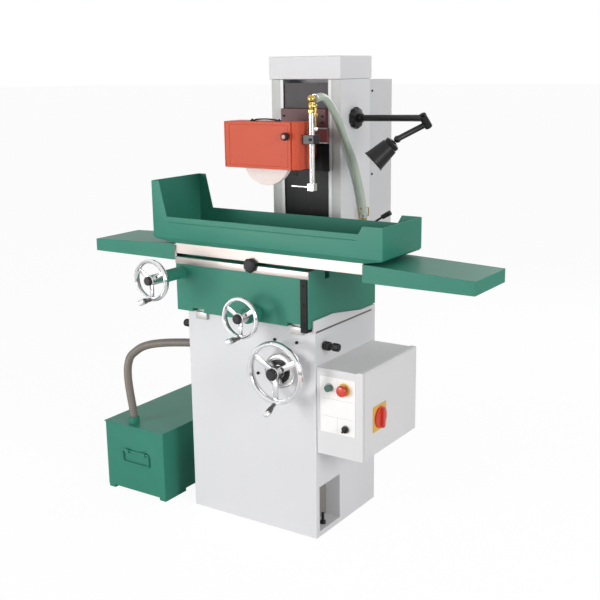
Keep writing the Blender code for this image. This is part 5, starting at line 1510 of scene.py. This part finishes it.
@dataclass
class Dial:
    """The graduated drum behind the largest handwheel."""

    divisions: int = 100
    recess_in: float = 0.024
    recess_out: float = 0.042

    def build(self) -> None:
        """Turns the drum, lays black kidneys on its face as painted shade and adds the graduation lines."""
        low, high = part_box("elevating_dial")
        centre = Vector(((low.x + high.x) / 2, high.y, (low.z + high.z) / 2))
        r, t = (high.x - low.x) / 2, high.y - low.y
        profile = [
            (0.0104, 0), (r * 0.98, 0), (r, 0.0008), (r, t - 0.005), (r * 0.92, t - 0.001), (r * 0.88, t)
        ]
        profile += [(r * 0.80, t), (r * 0.76, t - 0.003), (r * 0.5, t - 0.003), (r * 0.46, t), (0.0104, t)]
        drum = lathe("dial_drum", profile, centre, -Y, SATIN_CHROME, segments=96, ring=True)
        form = bmesh.new()
        for mark in range(self.divisions):
            angle = tau * mark / self.divisions
            long = 0.0055 if mark % 10 == 0 else 0.0042 if mark % 5 == 0 else 0.0028
            turn = Matrix.Rotation(angle, 3, "Y")
            corners = []
            for wide, deep in ((-1, 0), (1, 0), (1, 1), (-1, 1)):
                spot = Vector((0.00022 * wide, -t + 0.0055 + long * deep, r + 0.00012))
                corners.append(form.verts.new(centre + turn @ spot))
            form.faces.new(corners)
        lines = finished("dial_lines", form, BLACK_OXIDE)
        settle(joined("graduated_dial", [drum, lines]), "elevating_drive", SATIN_CHROME, "elevating_dial")
        for count in range(3):
            self.recess(count, centre - Y * t)

    def recess(self, count: int, face: Vector) -> None:
        """Lays one black kidney on the dial's face, between two spokes: painted shade where the face opens
        behind the spokes.
        """
        outline = []
        for radius, spread in ((self.recess_in, (-1, 1)), (self.recess_out, (1, -1))):
            for step in range(13):
                angle = tau * count / 3 + radians(40) * (spread[0] + (spread[1] - spread[0]) * step / 12)
                outline.append((face.x + radius * sin(angle), face.z + radius * cos(angle)))
        kidney = plate(
            f"dial_kidney_shade_{count + 1}",
            outline,
            face.y - 0.0002,
            face.y + 0.004,
            Facing.Y,
            BLACK_OXIDE,
            0.0001,
        )
        settle(kidney, "elevating_drive", BLACK_OXIDE)


@dataclass
class Saddle:
    """The saddle casting, its way wiper and the fittings on its front wall; the drive behind that wall is
    dressed as part of the hidden drive.
    """

    def build(self) -> None:
        """Builds the casting, its lip, stop knob, wipers and screws."""
        settle(eased("saddle", "saddle_casting", 0.0025, GREEN_PAINT, steps=3), "saddle", GREEN_PAINT)
        low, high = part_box("saddle")
        self.wiper(high.x)
        band_z = high.z - 0.0475
        rib = block(
            "saddle_lip",
            (low.x - 0.0002, -0.2315, band_z),
            (high.x + 0.0002, -0.2275, band_z + 0.0245),
            0.001,
            GROUND_STEEL,
        )
        settle(rib, "saddle", GROUND_STEEL)
        profile = [
            (0, 0), (0.022, 0), (0.025, 0.002), (0.025, 0.010), (0.021, 0.015), (0.010, 0.017), (0, 0.017)
        ]
        stop = lathe(
            "table_stop_knob",
            profile,
            (0.0345, -0.2320, high.z - 0.022),
            -Y,
            KNURLED,
            64,
            lobes=9,
            depth=0.08,
        )
        settle(stop, "saddle", KNURLED)
        self.table_wipers(low, high)

    def table_wipers(self, low: Vector, high: Vector) -> None:
        """Closes the gap below the table at both ends of the saddle, on either side of the rack."""
        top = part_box("table")[0].z - 0.0004
        rack_low, rack_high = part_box("table_rack")
        runs = (("front", -0.223, rack_low.y - 0.003), ("rear", rack_high.y + 0.003, -0.010))
        for side, x in (("left", low.x + 0.0003), ("right", high.x - 0.0033)):
            for run, front, back in runs:
                strip = block(
                    f"table_wiper_{side}_{run}",
                    (x, front, top - 0.0120),
                    (x + 0.003, back, top),
                    0.0006,
                    BLACK_RUBBER,
                )
                settle(strip, "saddle", BLACK_RUBBER)

    def wiper(self, right: float) -> None:
        """Screws a black rubber wiper over the end of the right-hand cross way."""
        outline = [
            (right - 0.031, 0.7595), (right - 0.006, 0.7595), (right - 0.006, 0.925), (right - 0.031, 0.925)
        ]
        strip = plate("way_wiper", outline, -0.2345, -0.2292, Facing.Y, BLACK_RUBBER, 0.001)
        settle(strip, "saddle", BLACK_RUBBER)
        foot = block(
            "way_wiper_foot",
            (right - 0.031, -0.2345, 0.7460),
            (right - 0.006, -0.2028, 0.7590),
            0.001,
            BLACK_RUBBER,
        )
        settle(foot, "frame", BLACK_RUBBER)
        for count, z in enumerate((0.775, 0.840, 0.905)):
            at = Vector((right - 0.0185, -0.2345, z))
            settle(cap_screw(f"wiper_screw_{count + 1}", at, -Y, 0.0034), "saddle", BLACK_OXIDE)


@dataclass
class WorkTable:
    """The ground table, its rack, the sheet splash tray and the two end covers."""

    fold: float = 0.0014
    wall: float = 0.006
    tuck: float = 0.019

    def build(self) -> None:
        """Builds the table and the sheet metal that rides on it."""
        settle(eased("table", "ground_table", 0.0008, GROUND_STEEL), "table", GROUND_STEEL)
        tray = eased("splash_guard", "splash_tray", self.fold, GREEN_PAINT, steps=2)
        self.tuck_foot(tray)
        settle(tray, "table", GREEN_PAINT)
        for side in ("left", "right"):
            settle(eased(f"{side}_wing", f"{side}_end_cover", self.fold, GREEN_PAINT), "table", GREEN_PAINT)
        self.fold_line()

    def tuck_foot(self, tray: bpy.types.Object) -> None:
        """Folds the foot of the tray's front and end walls inwards."""
        low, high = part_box("splash_guard")
        bend = low.z + self.tuck
        form = bmesh.new()
        form.from_mesh(tray.data)
        bmesh.ops.bisect_plane(
            form, geom=[*form.verts, *form.edges, *form.faces], plane_co=(0, 0, bend), plane_no=Z
        )
        for vert in form.verts:
            inwards = 0.9 * max(bend - vert.co.z, 0)
            if vert.co.y < low.y + self.wall:
                vert.co.y += inwards
            if vert.co.x < low.x + self.wall:
                vert.co.x += inwards
            elif vert.co.x > high.x - self.wall:
                vert.co.x -= inwards
        form.to_mesh(tray.data)
        form.free()

    def fold_line(self) -> None:
        """Presses a stiffening line below the front wall's top edge."""
        low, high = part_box("splash_guard")
        z = low.z + 0.0127 + 0.082 - 0.020
        y = low.y - 0.0002
        path = [(low.x + 0.070 + (high.x - low.x - 0.165) * k / 20, y, z) for k in range(21)]
        settle(swept("tray_fold", path, 0.0022, GREEN_PAINT, sides=10, flatten=0.5), "table", GREEN_PAINT)


@dataclass
class ElectricalCabinet:
    """The switch box with its operator's panel, door and rotary main switch."""

    edge: float = 0.0022

    def build(self) -> None:
        """Builds the box, the door and everything that is pressed or turned."""
        settle(eased("electrical_box", "switch_box", self.edge, SHEET_PAINT, steps=2), "frame", SHEET_PAINT)
        settle(
            eased("electrical_door", "switch_box_door", 0.003, SHEET_PAINT, steps=3),
            "cabinet_door",
            SHEET_PAINT,
        )
        settle(eased("control_panel", "panel_plate", 0.0006, PANEL_WHITE), "frame", PANEL_WHITE)
        self.panel_lines()
        self.door_seal()
        self.rain_lip()
        self.start_button()
        self.emergency_stop()
        self.selector()
        self.main_switch()

    def door_seal(self) -> None:
        """Lays the dark seal that shows as a line between the box and its door."""
        low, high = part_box("electrical_door")
        x = low.x + 0.0002
        seal = block(
            "door_seal",
            (x, low.y - 0.0105, low.z + 0.001),
            (x + 0.0020, low.y - 0.0015, high.z - 0.001),
            0.0004,
            BLACK_RUBBER,
        )
        settle(seal, "frame", BLACK_RUBBER)

    def rain_lip(self) -> None:
        """Folds a narrow lip along the top of the door side."""
        low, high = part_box("electrical_box")
        door_low, door_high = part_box("electrical_door")
        lip = block(
            "rain_lip",
            (door_low.x - 0.006, low.y, high.z - 0.0008),
            (door_high.x, high.y, high.z + 0.0035),
            0.0014,
            SHEET_PAINT,
        )
        settle(lip, "frame", SHEET_PAINT)

    def panel_lines(self) -> None:
        """Prints the fine lines that part the panel into its fields."""
        low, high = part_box("control_panel")
        y = low.y - 0.00006
        middle = (low.x + high.x) / 2
        first = high.z - 0.076
        second = low.z + 0.058
        form = bmesh.new()
        runs = [
            ((low.x + 0.006, first), (high.x - 0.006, first)),
            ((low.x + 0.006, second), (high.x - 0.006, second)),
        ]
        runs += [((middle, high.z - 0.006), (middle, first)), ((middle, low.z + 0.006), (middle, second))]
        for (ax, az), (bx, bz) in runs:
            wide, tall = (0.0003, 0) if ax == bx else (0, 0.0003)
            corners = [
                (ax - wide, az - tall),
                (bx + wide, az - tall if tall else az),
                (bx + wide, bz + tall),
                (ax - wide, bz + tall if tall else bz),
            ]
            form.faces.new([form.verts.new((x, y, z)) for x, z in corners])
        settle(finished("panel_print", form, PANEL_LINE), "frame", PANEL_LINE)

    def bezel(
        self, name: str, node: str, radius: float, finish: Finish, height: float = 0.003, bore: float = 0.0102
    ) -> Vector:
        """Fits a ring on the panel round a control, and gives the control's centre on the panel."""
        low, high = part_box(node)
        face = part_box("control_panel")[0].y
        centre = Vector(((low.x + high.x) / 2, face, (low.z + high.z) / 2))
        profile = [(bore, 0), (radius, 0), (radius, height * 0.6), (radius - 0.0012, height), (bore, height)]
        settle(lathe(name, profile, centre, -Y, finish, segments=48, ring=True), "frame", finish)
        return centre

    def start_button(self) -> None:
        """Builds the lit push button with its chrome collar."""
        centre = self.bezel("start_collar", "start_button", 0.0158, SATIN_CHROME, bore=0.0129)
        low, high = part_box("start_button")
        front, back = centre.y - low.y, centre.y - high.y
        profile = [
            (0, back),
            (0.0092, back),
            (0.0092, 0.0052),
            (0.0122, 0.0052),
            (0.0124, front - 0.004),
            (0.0115, front - 0.001),
        ]
        profile += [(0.0095, front), (0.009, front - 0.0008), (0, front - 0.0002)]
        settle(
            lathe("start_cap", profile, centre, -Y, BUTTON_GREEN, segments=40),
            "start_button",
            BUTTON_GREEN,
            "start_button",
        )

    def emergency_stop(self) -> None:
        """Builds the red mushroom button on its yellow ring."""
        centre = self.bezel("stop_ring", "emergency_stop", 0.0225, COLLAR_YELLOW, 0.004, 0.0142)
        low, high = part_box("emergency_stop")
        front, back = centre.y - low.y, centre.y - high.y
        r = (high.x - low.x) / 2
        profile = [
            (0, back),
            (0.0092, back),
            (0.0092, 0.0062),
            (0.012, 0.0066),
            (0.0135, front - 0.016),
            (r * 0.94, front - 0.013),
        ]
        profile += [
            (r, front - 0.010),
            (r * 0.98, front - 0.007),
            (r * 0.8, front - 0.002),
            (r * 0.4, front - 0.0002),
            (0, front),
        ]
        settle(
            lathe("stop_mushroom", profile, centre, -Y, BUTTON_RED, segments=48),
            "emergency_stop",
            BUTTON_RED,
            "emergency_stop",
        )

    def selector(self) -> None:
        """Builds the black selector with its finger bar."""
        centre = self.bezel("selector_ring", "selector_knob", 0.0145, SATIN_CHROME)
        low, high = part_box("selector_knob")
        front, back = centre.y - low.y, centre.y - high.y
        profile = [
            (0, back),
            (0.0092, back),
            (0.0092, 0.0035),
            (0.0121, 0.0038),
            (0.0121, 0.009),
            (0.011, 0.010),
            (0, 0.010),
        ]
        turned = lathe("selector_skirt", profile, centre, -Y, BAKELITE, segments=40)
        bar = block(
            "selector_bar",
            (centre.x - 0.0035, low.y + 0.0002, centre.z - 0.0112),
            (centre.x + 0.0035, centre.y - 0.008, centre.z + 0.0112),
            0.0015,
            BAKELITE,
        )
        bar.data.transform(
            Matrix.Translation(centre) @ Matrix.Rotation(radians(35), 4, "Y") @ Matrix.Translation(-centre)
        )
        settle(joined("selector_handle", [turned, bar]), "selector", BAKELITE, "selector_knob")
        LOG.info("selector stands %.0f mm off the panel", front * 1000)

    def main_switch(self) -> None:
        """Builds the yellow plate and the red rotary handle on the door."""
        low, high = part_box("main_switch")
        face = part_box("electrical_door")[1].x
        centre = Vector((face, (low.y + high.y) / 2, (low.z + high.z) / 2))
        r, reach = (high.z - low.z) / 2, high.x - face
        half = 0.045
        outline = [
            (centre.y - half, centre.z - half),
            (centre.y + half, centre.z - half),
            (centre.y + half, centre.z + half),
            (centre.y - half, centre.z + half),
        ]
        shield = plate("switch_shield", outline, face, face + 0.0022, Facing.X, COLLAR_YELLOW)
        settle(shield, "cabinet_door", COLLAR_YELLOW)
        profile = [
            (0, low.x - face),
            (0.006, low.x - face),
            (0.006, 0.0026),
            (r, 0.0026),
            (r, 0.0090),
            (r * 0.94, 0.0105),
            (r * 0.6, 0.0118),
            (0, 0.0122),
        ]
        turned = lathe("switch_skirt", profile, centre, X, BUTTON_RED, segments=64, lobes=20, depth=0.05)
        bar = block(
            "switch_bar",
            (face + 0.008, centre.y - 0.0065, centre.z - r * 0.93),
            (face + reach - 0.0090, centre.y + 0.0065, centre.z + r * 0.93),
            0.0028,
            BUTTON_RED,
        )
        settle(joined("switch_handle", [turned, bar]), "main_switch", BUTTON_RED, "main_switch")


@dataclass
class CoolantTank:
    """The sheet tank on its feet, with lid, handle, collar and the drain hose from the base."""

    hose_r: float = 0.0155
    route: tuple[Point, ...] = (
        (-0.5530, -0.2160, 0.2790),
        (-0.5530, -0.2160, 0.3100),
        (-0.5600, -0.2170, 0.3600),
        (-0.5680, -0.2170, 0.4100),
        (-0.5740, -0.2150, 0.4550),
        (-0.5770, -0.2090, 0.4950),
        (-0.5720, -0.1990, 0.5300),
        (-0.5580, -0.1870, 0.5490),
        (-0.5350, -0.1740, 0.5675),
        (-0.5050, -0.1610, 0.5795),
        (-0.4700, -0.1490, 0.5870),
        (-0.4300, -0.1390, 0.5930),
        (-0.3850, -0.1300, 0.5980),
        (-0.3400, -0.1220, 0.6020),
        (-0.3000, -0.1165, 0.6030),
        (-0.2720, -0.1150, 0.6030),
        (-0.2620, -0.1150, 0.6030),
    )

    def build(self) -> None:
        """Builds the tank, its fittings and the hose."""
        settle(eased("tank_body", "tank_shell", 0.0012, GREEN_PAINT), "frame", GREEN_PAINT)
        settle(eased("tank_lid", "tank_cover", 0.0010, GREEN_PAINT), "frame", GREEN_PAINT)
        settle(eased("tank_handle", "tank_bail_handle", 0.0004, GREEN_PAINT), "tank_bail", GREEN_PAINT)
        self.lid_lip()
        self.drain()

    def lid_lip(self) -> None:
        """Folds the lid's rim down round the tank."""
        low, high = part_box("tank_lid")
        body_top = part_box("tank_body")[1].z
        z = body_top + 0.0008
        corners = [(low.x, low.y), (high.x, low.y), (high.x, high.y), (low.x, high.y)]
        path = []
        for (ax, ay), (bx, by) in zip(corners, corners[1:] + corners[:1]):
            path += [(ax + (bx - ax) * k / 6, ay + (by - ay) * k / 6, z) for k in range(6)]
        rim = swept(
            "lid_rim",
            [
                (
                    (x - (low.x + high.x) / 2) * 0.994 + (low.x + high.x) / 2,
                    (y - (low.y + high.y) / 2) * 0.997 + (low.y + high.y) / 2,
                    z,
                )
                for x, y, z in path
            ],
            0.0024,
            GREEN_PAINT,
            10,
            closed=True,
        )
        settle(rim, "frame", GREEN_PAINT)

    def drain(self) -> None:
        """Lays the drain hose from the base's socket down to the tank's collar."""
        path = smooth_route(self.route, 0.008)
        radii = [self.hose_r * (1.0 if k % 2 else 0.985) for k in range(len(path))]
        tube = swept("drain_pipe_hose", path, radii, DRAIN_RUBBER, sides=20)
        settle(tube, "frame", DRAIN_RUBBER, "drain_hose")


@dataclass
class HiddenDrive:
    """Shafts, gears, rack and screws that show only through gaps, which keep the CAD's own shapes."""

    steel: tuple[str, ...] = (
        "elevating_shaft", "transfer_shaft", "elevating_screw", "cross_screw", "table_rack", "pinion_shaft"
    )
    brass: tuple[str, ...] = ("cross_nut",)

    def build(self) -> None:
        """Dresses each one in its metal."""
        for node in self.steel:
            dress(node, CAST_IRON)
        for node in self.brass:
            dress(node, BRASS)


@dataclass
class Studio:
    """The pale floor, the soft lights and the camera."""

    camera_at: Point = (1.961, -2.841, 1.598)
    azimuth: float = 33.54
    pitch: float = 13.32
    roll: float = 0.73
    lens: float = 58.86
    lamps: list[tuple[str, Point, Point, float, float]] = field(
        default_factory=lambda: [
            ("key", (-2.2, -4.6, 1.35), (0.0, 0.0, 0.75), 2.2, 136.0),
            ("side", (4.6, -1.4, 2.1), (0.0, 0.0, 1.1), 2.0, 92.0),
            ("back", (0.6, 3.6, 2.4), (0.0, 0.0, 0.9), 2.4, 24.0),
        ]
    )

    def camera(self) -> None:
        """Sets the camera from its place and angles."""
        a, e, r = radians(self.azimuth), radians(self.pitch), radians(self.roll)
        ahead = Vector((-sin(a) * cos(e), cos(a) * cos(e), -sin(e)))
        right = Vector((cos(a), sin(a), 0))
        up = right.cross(ahead)
        rolled_right = right * cos(r) - up * sin(r)
        rolled_up = right * sin(r) + up * cos(r)
        data = bpy.data.cameras.new("camera")
        data.lens = self.lens
        data.sensor_width = 36
        camera = bpy.data.objects.new("camera", data)
        bpy.context.scene.collection.objects.link(camera)
        turn = Matrix((rolled_right, rolled_up, -ahead)).transposed().to_4x4()
        camera.matrix_world = Matrix.Translation(Vector(self.camera_at)) @ turn
        bpy.context.scene.camera = camera

    def floor(self) -> None:
        """Lays a wide pale floor that shows white but keeps a soft shadow."""
        form = bmesh.new()
        bmesh.ops.create_grid(form, x_segments=2, y_segments=2, size=80)
        floor = finished("floor", form, Finish("pale_floor", "#FAFAFA", 0.8, ""))
        floor.location.z = -0.0005
        made = floor.data.materials[0]
        tree = made.node_tree
        shader = tree.nodes["Principled BSDF"]
        path = add_node(tree, "ShaderNodeLightPath")
        glow = add_node(tree, "ShaderNodeEmission", Color=(1, 1, 1, 1), Strength=1.03)
        share = add_node(
            tree, "ShaderNodeMath", {"operation": "MULTIPLY"}, i0=path.outputs["Is Camera Ray"], i1=0.90
        )
        mixed = add_node(
            tree, "ShaderNodeMixShader", Fac=share.outputs[0], i1=shader.outputs[0], i2=glow.outputs[0]
        )
        tree.links.new(mixed.outputs[0], tree.nodes["Material Output"].inputs["Surface"])

    def world(self) -> None:
        """Fills the world with even pale light, and shows it white to the camera, metal and glass."""
        world = bpy.data.worlds.new("world")
        bpy.context.scene.world = world
        world.use_nodes = True
        tree = world.node_tree
        tree.nodes.clear()
        path = add_node(tree, "ShaderNodeLightPath")
        direct = add_node(
            tree,
            "ShaderNodeMath",
            {"operation": "MAXIMUM"},
            i0=path.outputs["Is Camera Ray"],
            i1=path.outputs["Is Glossy Ray"],
        )
        seen = add_node(
            tree,
            "ShaderNodeMath",
            {"operation": "MAXIMUM"},
            i0=direct.outputs[0],
            i1=path.outputs["Is Transmission Ray"],
        )
        bright = add_node(tree, "ShaderNodeMapRange", Value=seen.outputs[0], To_Min=0.34, To_Max=1.0)
        ground = add_node(tree, "ShaderNodeBackground", Color=(1, 1, 1, 1), Strength=bright.outputs["Result"])
        add_node(tree, "ShaderNodeOutputWorld", Surface=ground.outputs[0])

    def light(self) -> None:
        """Hangs the soft lamps."""
        for name, place, aim, size, power in self.lamps:
            data = bpy.data.lights.new(name, "AREA")
            data.shape = "DISK"
            data.size = size
            data.energy = power
            lamp = bpy.data.objects.new(name, data)
            bpy.context.scene.collection.objects.link(lamp)
            way = Vector(aim) - Vector(place)
            turn = way.to_track_quat("-Z", "Y").to_matrix().to_4x4()
            lamp.matrix_world = Matrix.Translation(Vector(place)) @ turn

    def build(self) -> None:
        """Builds the camera, floor, world and lamps."""
        self.camera()
        self.floor()
        self.world()
        self.light()
        bpy.context.scene.view_settings.view_transform = "Standard"


def main() -> None:
    """Builds the studio and the machine."""
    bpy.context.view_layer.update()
    Studio().build()
    parts = [
        CoolantSupply(),
        CoolantTank(),
        BaseCabinet(),
        Column(),
        Wheelhead(),
        GrindingWheel(),
        WheelGuard(),
        WorkLamp(),
        Handwheel(
            "elevating_handwheel", "elevating_drive", "elevating_grip", "elevating_handle",
            rim_r=0.0092, rim_w=0.0140, plane=-0.288, hub_r=0.022, hub_front=0.016, cap_r=0.0205, cap_h=0.016,
            spoke_w=0.022, metal=DARK_STEEL, lean=0.49,
        ),
        Handwheel(
            "cross_handwheel", "cross_drive", "cross_grip", "cross_handle",
            rim_r=0.0072, rim_w=0.0110, plane=-0.313,
            hub_r=0.019, hub_front=0.0135, cap_r=0.0165, cap_h=0.013,
            spoke_w=0.017, metal=DARK_STEEL,
        ),
        Handwheel(
            "table_handwheel", "table_drive", "table_grip", "table_handle",
            rim_r=0.0072, rim_w=0.0110, plane=-0.391,
            hub_r=0.018, hub_front=0.0135, cap_r=0.0155, cap_h=0.012,
            spoke_w=0.017, metal=DARK_STEEL,
        ),
        Dial(),
        Saddle(),
        WorkTable(),
        ElectricalCabinet(),
        HiddenDrive(),
    ]
    for part in parts:
        part.build()


if __name__ == "__main__":
    main()
